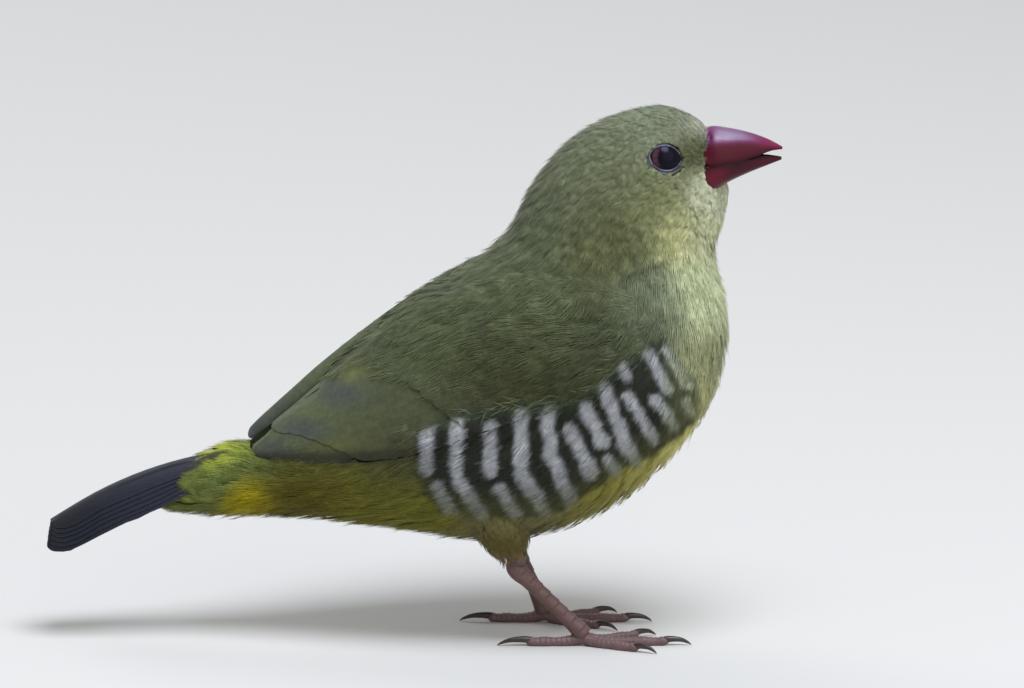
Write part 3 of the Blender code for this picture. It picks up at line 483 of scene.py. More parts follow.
def body_points(inset):
    """A closed grid on the body, as far inside the outline as inset times the coat's depth."""
    t, turn = grid_of(np.linspace(0, 1, BODY_GRID[0]), round_ring(BODY_GRID[1]))
    spots, _, _, outwards = frame_on(outer_body, t, turn)
    return spots - outwards * along(COAT_DEPTH, t) * inset


body_faces = capped(grid_faces(*BODY_GRID, True)[:, ::-1], *BODY_GRID)
outline_tree = BVHTree.FromPolygons(body_points(0.0).tolist(), body_faces.tolist())
skin_parts = [[body_points(1.0), body_faces]]
for sign in (1, -1):
    share, turn = grid_of(np.linspace(-0.15, 0.98, THIGH_GRID[0]), round_ring(THIGH_GRID[1]))
    spots, _, _, outwards = frame_on(outer_thigh, share, turn)
    spots = (spots - outwards * THIGH_DEPTH) * (1, sign, 1)
    skin_parts.append([spots, capped(grid_faces(*THIGH_GRID, True)[:, :: -sign], *THIGH_GRID)])
grown = placed("skin_parts", mesh_of("skin_parts", *joined(skin_parts)))
remesh = grown.modifiers.new("one_surface", "REMESH")
remesh.mode = "VOXEL"
remesh.voxel_size = SKIN_VOXEL * MM
relax = grown.modifiers.new("relax", "SMOOTH")
relax.iterations = 4
skin_mesh = bpy.data.meshes.new_from_object(grown.evaluated_get(bpy.context.evaluated_depsgraph_get()))
bpy.data.objects.remove(grown)
skin_mesh.name = "skin"
skin_points = np.empty(len(skin_mesh.vertices) * 3, np.float32)
skin_mesh.vertices.foreach_get("co", skin_points)
skin_points = skin_points.reshape(-1, 3) / MM
# The skin carries the plumage's markings a quarter darker, as painted shade in the gaps between the feathers.
lay(skin_mesh, "plumage", plumage(skin_points) * 0.75)
skin_mesh.polygons.foreach_set("use_smooth", np.ones(len(skin_mesh.polygons), bool))
skin_look = feather_look("skin_under_plumage", 0.3, 0.8)
flesh = ("head", "neck", "torso", "rump", "thigh_left", "thigh_right")
piece("skin", skin_mesh, skin_look, "body_plumage", *flesh)


# Eyes. Each is a glossy ball with a dark red-brown iris and a wide black pupil, set deep in the
# head behind a thin ring of pale blue-grey, beaded lid skin. The gaze is turned a little forwards.
EYE_PLACE = (28.9, 57.1)
LID_SINK = 0.12
EYE_BULGE = 0.35
EYE_TURN = math.radians(12)
PUPIL_RADIUS = 1.55
IRIS_RADIUS = 2.02
LID_OPENING = (1.74, 1.38)
LID_TILT = math.radians(-6)
LID_PROFILE = np.array([  # distance outwards from the opening, height above the ball or the head, paleness
    (-0.05, -0.1, 0.0), (0.0, 0.02, 0.1), (0.03, 0.06, 0.6), (0.07, 0.09, 1.0), (0.11, 0.09, 0.8),
    (0.15, 0.07, 0.3), (0.22, 0.05, 0.05), (0.32, 0.04, 0.0), (0.44, 0.02, 0.0), (0.56, -0.04, 0.0),
    (0.68, -0.14, 0.0), (0.8, -0.3, 0.0),
])
BALL_TURNS, LID_TURNS = 72, 120
BALL_SHARE = 0.985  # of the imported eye's radius
SOCKET_DEPTH, SOCKET_REACH = 0.6, 4
LID_TUCK = 0.26  # how far the lids' outer part lies under the outline of the plumage
RAY_START = 3  # where the rays that look for the head start, outside it
IRIS_BROWN, IRIS_RIM, PUPIL_BLACK = linear(76, 50, 56), linear(30, 24, 28), linear(15, 13, 17)
LID_DARK, LID_PALE, LID_OLIVE = linear(50, 49, 58), linear(124, 130, 140), linear(70, 73, 50)
SIDES = (("left", 1), ("right", -1))


def eye_axes(sign):
    """Where an eye looks out of the head, its outward axis, and the ways ahead and up in its opening."""
    start = Vector((EYE_PLACE[0] - CENTRING[0], sign * 50, EYE_PLACE[1]))
    spot, normal, _, _ = outline_tree.ray_cast(start, Vector((0, -sign, 0)))
    normal = normal if normal.y * sign > 0 else -normal
    axis = (2 * normal + Vector((0, sign, 0))).normalized()
    ahead = Vector((math.cos(LID_TILT), 0, math.sin(LID_TILT)))
    ahead = (ahead - axis * ahead.dot(axis)).normalized()
    up = axis.cross(ahead) if sign < 0 else ahead.cross(axis)
    up = up if up.z > 0 else -up
    return [np.array(vector) for vector in (spot - axis * LID_SINK, axis, ahead, up)]


eye_gloss = new_look("eye_gloss", {
    "Roughness": 0.19, "Specular IOR Level": 0.15, "Specular Tint": (0.56, 0.5, 1.0, 1),
})
paint(eye_gloss, "iris")
lid_skin = new_look("lid_skin", {"Roughness": 0.5})
paint(lid_skin, "lid")
emboss(lid_skin, pattern(lid_skin, "Voronoi", 0.14), 0.4, 0.05)

EYES = {}
sunk = np.zeros(skin_points.shape)
for name, sign in SIDES:
    EYES[sign] = spot, axis, ahead, up = eye_axes(sign)
    low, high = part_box("eye_" + name)
    centre = np.array((low + high) / 2) / MM
    radius = (high - low).x / 2 / MM
    gaze = unit(axis * math.cos(EYE_TURN) + ahead * math.sin(EYE_TURN))
    right = unit(np.cross(gaze, (0, 0, 1)))
    over = np.cross(right, gaze)
    # Rings of the ball, closest together round the pupil
    tilt = np.concatenate([np.linspace(0, 0.95, 44), np.linspace(1.05, math.pi, 14)])
    ring, way = [values[:, None] for values in grid_of(tilt, round_ring(BALL_TURNS))]
    ball = gaze * np.cos(ring) + (right * np.cos(way) + over * np.sin(way)) * np.sin(ring)
    points = centre + ball * radius * BALL_SHARE
    mesh = mesh_of("eyeball_" + name, points, grid_faces(len(tilt), BALL_TURNS, True))
    out = np.sin(ring[:, 0]) * radius
    spokes = 0.5 + 0.5 * np.sin(way[:, 0] * 40 + 3 * np.sin(way[:, 0] * 7))
    shade = (0.7 + 0.35 * spokes) * (0.75 + 0.3 * ramp(out, 1.5, 1.9))
    # The iris is painted darker towards the front and the top, as shade.
    shade = shade * (1 - 0.9 * ramp(ball @ ahead, -0.5, 0.05)) * (1 - 0.5 * ramp(ball @ up, 0.1, 0.6))
    rim = ramp(out, IRIS_RADIUS - 0.12, IRIS_RADIUS + 0.04)
    iris = toward(IRIS_BROWN * shade[:, None], IRIS_RIM, rim)
    pupil = 1 - ramp(out, PUPIL_RADIUS - 0.15, PUPIL_RADIUS + 0.12)
    lay(mesh, "iris", toward(iris, PUPIL_BLACK, pupil))
    piece("eyeball_" + name, mesh, eye_gloss, "eye", "eye_" + name)

    # The skin sinks into the socket and so stays under the lids
    offset = skin_points - spot
    near = 1 - ramp(np.hypot(offset @ ahead / LID_OPENING[0], offset @ up / LID_OPENING[1]), 0.95, 1.25)
    sunk -= axis * (SOCKET_DEPTH * near * (np.linalg.norm(offset, axis=1) < SOCKET_REACH))[:, None]

    ring, way = grid_of(np.arange(len(LID_PROFILE)), round_ring(LID_TURNS))
    beads = 1 + 0.18 * np.sin(way * 37 + 2 * np.sin(way * 3)) + 0.1 * np.sin(way * 61)
    out, rise, pale = LID_PROFILE[ring].T
    reach_a = LID_OPENING[0] + out
    reach_b = LID_OPENING[1] + out
    # A pointed corner ahead and behind, as lids have
    point = 0.06 * np.abs(np.cos(way)) ** 12 + 0.04 * np.sin(3 * way + 0.7) + 0.02 * np.sin(7 * way)
    flat = ahead * ((reach_a + point) * np.cos(way))[:, None] + up * (reach_b * np.sin(way))[:, None]
    across = np.linalg.norm(flat, axis=1)
    on_ball = np.sqrt(np.maximum(radius**2 - across**2, 0)) - (radius - EYE_BULGE)
    on_head = np.empty(len(flat))
    for i, place in enumerate(spot + flat + axis * RAY_START):
        hit = outline_tree.ray_cast(Vector(place), Vector(-axis))
        on_head[i] = RAY_START - hit[3]
    blend = ramp(out, 0.1, 0.6)
    lift = on_ball * (1 - blend) + (on_head - LID_TUCK) * blend + rise * np.where(pale > 0.3, beads, 1)
    points = spot + flat + axis * lift[:, None]
    mesh = mesh_of("lids_" + name, points, grid_faces(len(LID_PROFILE), LID_TURNS, True)[:, ::sign])
    patchy = np.clip(0.5 + 0.7 * soft_noise(points, 0.3, 11) + 0.7 * soft_noise(points, 1.0, 13), 0.05, 1)
    # The outer lid skin below the eye is painted darker, as shade.
    shade = 1 - 0.35 * ramp(-np.sin(way), 0.0, 0.9) * ramp(out, 0.15, 0.4)
    colours = toward(LID_DARK, LID_OLIVE, ramp(out, 0.5, 0.8)) * shade[:, None]
    lay(mesh, "lid", toward(colours, LID_PALE, pale * patchy))
    piece("lids_" + name, mesh, lid_skin, "head_plumage")
skin_mesh.vertices.foreach_set("co", ((skin_points + sunk) * MM).astype(np.float32).ravel())
skin_mesh.update()


# Bill. Two halves of glossy crimson horn: the upper has a blunt ridge and an oval nostril close to
# the feathers, the lower has a deep base. Their edges meet in a mouth line that parts at the tip.
BILL_UPPER = np.array([  # x, ridge z, edge z, half width
    (31.8, 58.8, 55.6, 2.2), (34.0, 59.65, 55.85, 3.1), (36.0, 59.5, 56.15, 2.85), (38.4, 59.0, 56.6, 2.0),
    (40.6, 58.25, 57.0, 1.1), (42.3, 57.35, 57.1, 0.22),
])
BILL_LOWER = np.array([
    (32.0, 51.6, 55.3, 3.25), (34.0, 52.1, 55.55, 3.2), (36.0, 53.3, 55.9, 2.7), (38.4, 54.4, 56.15, 1.8),
    (40.5, 55.2, 56.25, 0.95), (42.2, 55.85, 56.15, 0.22),
])
BILL_ROUNDING = 0.8  # of a section from the edge to the ridge; below 1 is fuller
BILL_BREADTH = {1: 0.9, -1: 0.62}  # the same across the upper and the lower half
BILL_GRID = (64, 56)
NOSTRIL = (34.0, 58.85)
NOSTRIL_REACH, NOSTRIL_DEPTH = (0.26, 0.42), 0.16
MOUTH_DEPTH = 0.25  # of the half width
RIM_HEIGHT, TUCK_HEIGHT = 0.3, 0.45  # shares of the way from the edge to the ridge
RIM_OVERLAP = np.array([(33.0, 0.32), (37.5, 0.4), (39.5, 0.25), (41.0, 0.0)])  # x, reach over the lower half
CRIMSON, DEEP_RED, HIGHLIGHT_PINK = linear(78, 8, 30), linear(58, 6, 20), linear(106, 20, 42)
REFLECTED_PURPLE, HIGHLIGHT_LILAC, TIP_PINK = linear(104, 36, 92), linear(140, 130, 150), linear(126, 34, 72)

horn = new_look("bill_horn", {
    "Roughness": 0.3, "Specular IOR Level": 0.2, "Subsurface Weight": 0.08, "Subsurface Scale": 0.6 * MM,
    "Subsurface Radius": (1.0, 0.3, 0.25),
})
streaks = pattern(horn, "Noise", 0.35, stretch=(0.25, 1, 1), Detail=5)
paint(horn, "horn", streaks, (0, 1, 0.75, 1.2))
emboss(horn, streaks, 0.12, 0.05)
for name, rows, side in (("bill_upper", BILL_UPPER, 1), ("bill_lower", BILL_LOWER, -1)):
    share, turn = grid_of(np.linspace(0, 1, BILL_GRID[0]) ** 0.9, round_ring(BILL_GRID[1]))
    x, ridge, edge, half_width = along(rows, share).T
    sine, cosine = np.sin(turn), np.cos(turn)
    over = sine > 0
    # The outer shell, then the hollow roof or floor of the mouth inside it
    shell = edge + (ridge - edge) * np.abs(sine) ** BILL_ROUNDING
    z = np.where(over, shell, edge + side * MOUTH_DEPTH * half_width * np.abs(sine))
    y = half_width * np.sign(cosine) * np.abs(cosine) ** np.where(over, BILL_BREADTH[side], 1.0)
    if side > 0:
        # The edges of the upper half reach down over those of the lower half
        z = z - np.interp(x, *RIM_OVERLAP.T) * np.clip(1 - np.abs(sine) / RIM_HEIGHT, 0, 1)
    else:
        tuck = (np.abs(sine) < TUCK_HEIGHT) * (1 - np.abs(sine) / TUCK_HEIGHT)
        y = y * (1 - 0.06 * tuck)
        z = z + 0.1 * (1 - share) * tuck
    points = np.stack([x, y, z], 1) - CENTRING
    from_nostril = np.hypot((x - NOSTRIL[0]) / NOSTRIL_REACH[0], (z - NOSTRIL[1]) / NOSTRIL_REACH[1])
    pit = np.exp(-(from_nostril**2)) * (np.abs(y) > 0.8) * over * (side > 0)
    points[:, 1] -= np.sign(y) * NOSTRIL_DEPTH * pit
    level = np.abs(z - edge) / np.maximum(np.abs(ridge - edge), 1e-6)
    colours = toward(DEEP_RED, CRIMSON, 0.7 + 0.3 * soft_noise(points, 1.6, 22))
    if side > 0:
        # The upper half is painted purple towards its ridge, a painted reflection of the light from above,
        # with a pale lilac band along the ridge as a painted highlight.
        purple_reflection = ramp(level, 0.5, 0.74) * (1 - 0.6 * ramp(x, 36.0, 41.5))
        band = ramp(level, 0.66, 0.8) * (1 - 0.6 * ramp(level, 0.9, 1.0)) * ramp(x, 33.9, 35.2)
        band = band * (1 - 0.95 * ramp(x, 36.0, 40.5))
        colours = toward(toward(colours, REFLECTED_PURPLE, 0.8 * purple_reflection), HIGHLIGHT_LILAC, 0.75 * band)
        colours = toward(colours, TIP_PINK, 0.5 * ramp(x, 37.5, 41.5) * ramp(level, 0.2, 0.7))
    else:
        # The base of the lower half is painted paler pink, a painted highlight on its swelling; the edge
        # ahead of it is painted darker as shade, and the whole lower half a fifth darker.
        swelling_highlight = np.exp(-(((x - 34.4) / 1.3) ** 2) - ((level - 0.55) / 0.4) ** 2)
        shade = np.exp(-(((x - 37.2) / 1.2) ** 2) - ((level - 0.1) / 0.35) ** 2)
        colours = toward(colours, HIGHLIGHT_PINK, 0.8 * swelling_highlight) * (0.8 * (1 - 0.45 * shade))[:, None]
    # The nostril pit and the inside of the mouth are painted dark, as shade.
    colours = colours * ((1 - 0.85 * pit) * np.where(over, 1.0, 0.35))[:, None]
    mesh = mesh_of(name + "_horn", points, capped(grid_faces(*BILL_GRID, True)[:, ::-side], *BILL_GRID))
    lay(mesh, "horn", colours)
    piece(name + "_horn", mesh, horn, "bill_horn", name)


# Legs. Bare shanks and toes in dull pinkish-brown skin: a row of overlapping plates runs down the
# front of the shank and over each toe, small pads lie under it, and each toe ends in a dark claw.
LEG_SIDE = 5.9
HEEL_TOP = (11.9, 10.5)
HEEL = (11.6, 9.2)
ANKLE_HEIGHT = 1.5
FOOT_X = {1: 15.0, -1: 19.4}
SHANK_RADIUS = 0.92
FLAT_HEIGHT = 0.42
SHANK_SIZES = (1.1, 1.15, 1.12, 1.22, 0.98, 0.9, 0.92, 1.12, 1.0)  # of its radius, from the thigh to the toes
SHANK_GRID, TOE_GRID, CLAW_GRID = (220, 28), (150, 22), (50, 16)
SHANK_PLATES, TOE_PLATES = (1.35, 0.09, 0.02), (0.62, 0.07, 0.05)  # pitch, height, height of the pads below
NO_PLATES = 1e6  # a pitch longer than any claw
CLAW_KEEL = 0.03
TOES = [  # turn from straight ahead in degrees, length, claw length, radius
    (-30.0, 7.2, 2.6, 0.56),
    (0.0, 9.6, 2.9, 0.6),
    (28.0, 7.0, 2.6, 0.56),
    (178.0, 6.2, 3.6, 0.62),
]
TOE_STEPS = [  # share of the toe's length, height, share of its radius
    (0.0, ANKLE_HEIGHT - 0.5, 1.25), (0.18, FLAT_HEIGHT + 0.2, 1.05), (0.34, FLAT_HEIGHT, 1.02),
    (0.52, FLAT_HEIGHT, 0.88), (0.7, FLAT_HEIGHT, 1.0), (0.88, FLAT_HEIGHT, 0.84),
    (0.97, FLAT_HEIGHT + 0.1, 0.84), (1.03, FLAT_HEIGHT + 0.2, 0.5),
]
CLAW_STEPS = [
    (-0.25, 0.62, 0.3), (0.0, 0.68, 0.62), (0.3, 0.72, 0.56), (0.62, 0.62, 0.42), (0.86, 0.34, 0.25),
    (1.0, 0.06, 0.06),
]
SHANK_BROWN, TOE_BROWN, CLAW_DARK = linear(94, 70, 66), linear(102, 78, 78), linear(64, 52, 50)


def band_at(value, middle, reach):
    """1 at the middle of a soft band, falling to 0 on both sides of it."""
    return np.exp(-(((value - middle) / reach) ** 2))


def limb(line, radii, grid, pitch, swell):
    """A tube along a line, and its tint. swell(distance, facing) adds to its radius, facing 1 on top."""
    rings, sides = grid
    share = np.linspace(0, 1, rings)
    middle = along(np.array(line), share)
    radius = along(np.array(radii)[:, None], share)[:, 0]
    way = unit(np.gradient(middle, axis=0))
    far = np.concatenate([[0], np.cumsum(np.linalg.norm(np.diff(middle, axis=0), axis=1))])
    flat = unit(np.cross(way, (0.0, 0.0, 1.0) if abs(way[rings // 2][2]) < 0.7 else (1.0, 0.0, 0.0)))
    front = np.cross(flat, way)
    turn = round_ring(sides)
    size = radius[:, None] + swell(far[:, None], np.cos(turn)[None, :])
    spoke = front[:, None, :] * np.cos(turn)[None, :, None] + flat[:, None, :] * np.sin(turn)[None, :, None]
    spots = (middle[:, None, :] + spoke * size[..., None]).reshape(-1, 3)
    in_plate = np.repeat(far, sides) / pitch % 1.0
    gap = band_at(in_plate, 0, 0.12) * ramp(np.cos(np.tile(turn, rings)), -0.2, 0.3)
    tint = (1 - 0.45 * gap) * (1 + 0.12 * soft_noise(spots, 0.8, 12))
    return [spots, capped(grid_faces(rings, sides, True), rings, sides), tint]


def plates(pitch, height, pads):
    """Overlapping plates on the front of a limb and rounded pads on its back."""

    def swell(far, facing):
        step = (far / pitch) % 1.0
        plate = height * (step**1.6 - 0.4) * ramp(facing, -0.25, 0.35)
        pad = pads * np.abs(np.sin(math.pi * far / (pitch * 1.4))) * ramp(-facing, 0.2, 0.8)
        return plate + pad

    return swell


def keel(far, facing):
    """The ridge along the top of a claw, whose underside is as much flatter."""
    return CLAW_KEEL * facing**3 + 0 * far


def leg_look(name, gloss):
    look = new_look(name, {
        "Roughness": gloss, "Specular IOR Level": 0.4, "Subsurface Weight": 0.1, "Subsurface Scale": 0.4 * MM,
    })
    scales = pattern(look, "Voronoi", 0.2)
    paint(look, "leg", scales, (0, 1, 0.8, 1.15))
    emboss(look, scales, 0.35, 0.04)
    return look


def leg_piece(name, tubes, colour, look, *nodes):
    points, faces, tint = joined(tubes)
    points[:, 2] = np.maximum(points[:, 2], 0.0)
    mesh = mesh_of(name, points - CENTRING, faces)
    lay(mesh, "leg", colour * tint[:, None])
    piece(name, mesh, look, "leg_skin", *nodes)


leg_skin = leg_look("leg_skin", 0.52)
claw_horn = leg_look("claw_horn", 0.3)
for name, sign in SIDES:
    foot = np.array((FOOT_X[sign], sign * LEG_SIDE, 0.0))
    ankle = foot + (0, 0, ANKLE_HEIGHT)
    heel = np.array((HEEL[0], sign * LEG_SIDE, HEEL[1]))
    heel_top = np.array((HEEL_TOP[0], sign * LEG_SIDE, HEEL_TOP[1]))
    down = unit(ankle - heel)
    line = [heel_top + (heel_top - heel) * 0.35, heel_top, heel_top * 0.4 + heel * 0.6, heel + down * 0.4]
    line += [heel + (ankle - heel) * share for share in (0.22, 0.5, 0.75)]
    line += [ankle - down * 0.3, ankle + down * 0.35]
    radii = [SHANK_RADIUS * size for size in SHANK_SIZES]
    shank = limb(line, radii, SHANK_GRID, SHANK_PLATES[0], plates(*SHANK_PLATES))
    toes, claws = [], []
    for turn, length, claw, radius in TOES:
        heading = math.radians(turn) * sign
        forward = np.array((math.cos(heading), math.sin(heading), 0.0))
        line = [foot + forward * length * share + (0, 0, height) for share, height, _ in TOE_STEPS]
        radii = [radius * size for _, _, size in TOE_STEPS]
        toes.append(limb(line, radii, TOE_GRID, TOE_PLATES[0], plates(*TOE_PLATES)))
        line = [foot + forward * (length + claw * share) + (0, 0, height) for share, height, _ in CLAW_STEPS]
        radii = [radius * size for _, _, size in CLAW_STEPS]
        claws.append(limb(line, radii, CLAW_GRID, NO_PLATES, keel))
    leg_piece("shank_skin_" + name, [shank], SHANK_BROWN, leg_skin, "shank_" + name)
    leg_piece("toes_" + name, toes, TOE_BROWN, leg_skin, "foot_" + name)
    leg_piece("claws_" + name, claws, CLAW_DARK, claw_horn)


# Wings. Each folded wing is a stack of stiff vanes over a thin arm: primaries with grey tips,
# secondaries, tertials and greater coverts in olive-brown. Its innermost feather turns down between
# the two wings, and the left wing's rear lies a little higher.
WING_SECTIONS = np.array([  # upper edge x, y, z, lower edge x, y, z, bulge, from the shoulder to the tip
    (27.3, 9.7, 40.0, 28.1, 10.0, 37.8, 0.3),
    (20.9, 9.6, 43.6, 24.7, 11.5, 33.6, 1.1),
    (11.4, 6.6, 43.5, 17.4, 12.0, 29.8, 2.0),
    (2.4, 3.0, 39.2, 8.6, 11.7, 26.6, 2.5),
    (-5.9, 0.9, 33.1, 0.4, 10.2, 23.4, 2.1),
    (-12.4, 0.45, 27.5, -8.8, 7.4, 21.8, 1.3),
    (-18.6, 0.45, 22.7, -18.4, 3.3, 21.6, 0.3),
])
LEFT_RISE = np.array([0.0, 0.0, 0.1, 0.4, 0.9, 1.2, 0.7])
WING_TIERS = {  # count, then for the first and last vane: root u and v, tip u and v, half width, tip height
    "primary": (8, ((0.50, 0.95), (0.46, 0.62)), ((0.995, 0.80), (0.92, 0.38)), (1.5, 1.9), (0.65, 0.95)),
    "secondary": (6, ((0.30, 0.90), (0.26, 0.46)), ((0.80, 0.84), (0.92, 0.30)), (2.1, 2.3), (0.92, 1.1)),
    "tertial": (3, ((0.26, 0.42), (0.22, 0.22)), ((0.86, 0.26), (0.72, 0.14)), (2.5, 2.2), (1.15, 1.3)),
    "covert": (9, ((0.20, 0.92), (0.20, 0.22)), ((0.54, 0.90), (0.64, 0.17)), (1.6, 1.6), (1.34, 1.36)),
}
VANE_SHADE = 0.68
WING_GREYS = [(-8.2, 27.6, 2.2, 1.2), (-13.0, 23.6, 2.6, 1.0), (-17.0, 21.2, 3.0, 1.3)]  # x, height, reaches
WING_ROWS = {-1: WING_SECTIONS, 1: WING_SECTIONS + LEFT_RISE[:, None] * (0, 0, 1, 0, 0, 0.3, 0)}
WING_STEPS = (0.01, 0.01)
ARM_GRID = (50, 24)
ARM_INSIDE = 0.2  # how far the arm reaches inwards from the wing's foundation
BARB_PITCH = 0.16
VANE_THICKNESS, INNER_THICKNESS = 0.09, 0.1
SHAFT_PLACE, SHAFT_REACH = 0.12, 0.05  # shares of a vane's half width
GREY_EDGE, LOW_EDGE_SHADE = linear(60, 65, 64), linear(44, 44, 33)
INNER_OLIVE, INNER_GREY = linear(80, 88, 62), linear(64, 71, 66)
INNER_HALF_WIDTH = 1.5
INNER_LAY = {1: (0.35, 2.8), -1: (-0.12, 1.7)}  # how far an innermost feather lies up and turns down
WING_NUMBERS = np.random.default_rng(21)


def wing_base(rows, u, v):
    """Points on a wing's foundation: u from shoulder to tip, v from the upper to the lower edge."""
    here = along(rows, u)
    top, low, bulge = here[..., 0:3], here[..., 3:6], here[..., 6:7]
    ahead, behind = along(rows, np.asarray(u) - 0.02), along(rows, np.asarray(u) + 0.02)
    way = (ahead[..., 0:3] + ahead[..., 3:6]) - (behind[..., 0:3] + behind[..., 3:6])
    outwards = unit(np.cross(way, low - top))
    outwards = outwards * np.where(outwards[..., 1:2] < 0, -1, 1)
    v = np.asarray(v)[..., None]
    return top + (low - top) * v + outwards * bulge * 4 * v * (1 - v) - CENTRING


def wing_chord(rows, u):
    here = along(rows, u)
    return np.linalg.norm(here[..., 3:6] - here[..., 0:3], axis=-1)


def on_wing(rows, u, v, height):
    spots, _, _, outwards = frame_on(lambda a, b: wing_base(rows, a, b), u, v, WING_STEPS)
    return spots + outwards * np.asarray(height)[..., None]


def wing_round(rows, u, v):
    """0 on the wing's upper and lower edges and 1 from two millimetres inside them."""
    inside = np.minimum(v, 1 - v) * wing_chord(rows, u) / 2.0
    return np.sqrt(1 - (1 - np.clip(inside, 0, 1)) ** 2)


def vane_outline(t):
    """Half width of a vane at shares t of its length: narrow at the root, full, then a round tip."""
    body = np.interp(t, [0, 0.3, 0.6, 0.86], [0.45, 0.84, 1.0, 1.0])
    tip = np.sqrt(np.maximum(1 - (np.maximum(t - 0.86, 0) / 0.1405) ** 2, 0))
    return body * np.maximum(tip, 0.04)


def vane(place, half_width, thickness, numbers, shaft, ragged):
    """A thin closed vane with a raised shaft. place(t, side, height) puts its points on the bird.

    It gives points, faces, smooth normals, and share of length, place across, and barb for each point.
    """
    t = np.concatenate([np.linspace(0, 0.84, 15), 1 - 0.16 * np.linspace(1, 0, 10)[1:] ** 1.4])
    b = np.array([
        -1.0, -0.86, -0.6, -0.34, shaft - SHAFT_REACH, shaft, shaft + SHAFT_REACH, 0.2, 0.5, 0.8, 1.0,
    ])
    rows, columns = len(t), len(b)
    nick = 1 - ragged * numbers.random((rows, 2)) ** 3 * 2
    reach = half_width * vane_outline(t)
    side = b[None, :] * reach[:, None]
    side[:, 0] *= nick[:, 0]
    side[:, -1] *= nick[:, 1]
    camber = 0.08 * (1 - b**2) * half_width / 2
    ridge = np.where(b == shaft, 0.06, 0.0)
    rise = camber + ridge * np.ones(rows)[:, None] * (1 - 0.7 * t[:, None])
    share = np.repeat(t, columns)
    spots = place(share, side.ravel(), rise.ravel())
    under = place(share, side.ravel(), (rise - thickness * (1 - b**4)).ravel())
    # The under face shares the rim of the upper one
    number = np.arange(rows * columns).reshape(rows, columns)
    lower = number + rows * columns
    lower[:, 0], lower[:, -1], lower[-1], lower[0] = number[:, 0], number[:, -1], number[-1], number[0]
    upper_faces, lower_faces = [
        np.stack([grid[:-1, :-1], grid[1:, :-1], grid[1:, 1:], grid[:-1, 1:]], -1).reshape(-1, 4)
        for grid in (number, lower)
    ]
    length = np.linalg.norm(spots[(rows - 1) * columns + 4] - spots[4])
    barb = share * length - 0.9 * np.abs(side.ravel() - shaft * half_width)
    edge = np.tile(b, rows)
    facts = np.stack([share, edge, barb], 1)
    # The rim shades like the face beside it, so that no bright or dark line runs round the vane
    small, inner = 0.01, np.clip(share, 0.02, 0.98)
    flat = side.ravel() * 0.9
    along_vane = place(inner + small, flat, 0 * flat) - place(inner - small, flat, 0 * flat)
    across_vane = place(inner, flat + small, 0 * flat) - place(inner, flat - small, 0 * flat)
    normals = unit(np.cross(across_vane, along_vane))
    normals = normals * np.sign((normals * (spots - under)).sum(1).mean())
    faces = np.concatenate([upper_faces, lower_faces[:, [0, 3, 2, 1]]])
    sample = upper_faces[len(upper_faces) // 2]
    corner = spots[sample]
    if np.cross(corner[1] - corner[0], corner[2] - corner[0]) @ normals[sample[0]] < 0:
        faces = faces[:, ::-1]
    normals = unit(normals + 0.25 * edge[:, None] * unit(across_vane))
    normals = np.concatenate([normals, -normals])
    return np.concatenate([spots, under]), faces, normals, np.concatenate([facts, facts])


def compact(points, faces, *facts):
    """Drops the points that no face uses."""
    used, faces = np.unique(faces, return_inverse=True)
    return [points[used], faces.reshape(-1, 4), *[fact[used] for fact in facts]]


def vane_look(name, gloss):
    """A vane's web: painted colours, and fine slanting barbs as streaks and as bump."""
    look = new_look(name, {"Roughness": gloss, "Specular IOR Level": 0.2, "Sheen Weight": 0.03})
    barb = add_node(look, "Attribute", attribute_name="barb").outputs["Fac"]
    turn = {0: barb, 1: FULL_TURN / BARB_PITCH}
    turn = add_node(look, "Math", turn, operation="MULTIPLY").outputs["Value"]
    wave = add_node(look, "Math", {0: turn}, operation="SINE").outputs["Value"]
    patches = {0: wave, 1: 0.1, 2: pattern(look, "Noise", 0.6, Detail=4)}
    total = add_node(look, "Math", patches, operation="MULTIPLY_ADD").outputs["Value"]
    paint(look, "plumage", total, (0.25, 0.75, 0.8, 1.18))
    emboss(look, wave, 0.3, 0.05)
    return look


def wing_vane(rows, root, tip, half_width, top, ragged):
    def place(t, side, height):
        u = root[0] + (tip[0] - root[0]) * t
        v = root[1] + (tip[1] - root[1]) * t
        v = np.clip(v + side / wing_chord(rows, u), 0.01, 0.99)
        lift = top * np.minimum(1, 0.55 + 0.9 * t) * (0.3 + 0.7 * wing_round(rows, u, v))
        return on_wing(rows, np.minimum(u, 0.999), v, lift + height)

    return compact(*vane(place, half_width, VANE_THICKNESS, WING_NUMBERS, -SHAFT_PLACE, ragged))


def wing_colour(points):
    """The plumage's colour with the grey parts that only the vanes have, and painted shade along the lower
    edge of the wing's rear.
    """
    x, height = points[:, 0] + CENTRING[0], seen_height(points)
    ragged = 0.6 * soft_noise(points, 1.2, 23)
    grey = np.zeros(len(x))
    for x0, height0, reach_x, reach_height in WING_GREYS:
        near = np.exp(-0.5 * (((x - x0) / reach_x) ** 2 + ((height - height0 + ragged) / reach_height) ** 2))
        grey = np.maximum(grey, near)
    # The vanes low on the wing's rear are painted dark, as shade along its lower edge.
    low = (1 - ramp(height, 20.6, 21.6)) * (1 - ramp(x, -3.0, 2.0))
    colour = toward(plumage(points) * VANE_SHADE, GREY_EDGE * (1 + 0.15 * ragged)[:, None], 0.85 * grey)
    return toward(colour, LOW_EDGE_SHADE, 0.8 * low)


def arm_height(u, v):
    """Thickness of the arm under the vanes."""
    edge = np.clip(4 * v * (1 - v), 0, 1)
    ahead, behind = np.clip((u + 0.02) / 0.16, 0, 1), np.clip((1.02 - u) / 0.5, 0, 1)
    return 0.4 + 0.8 * edge**0.6 * ahead**0.7 * behind


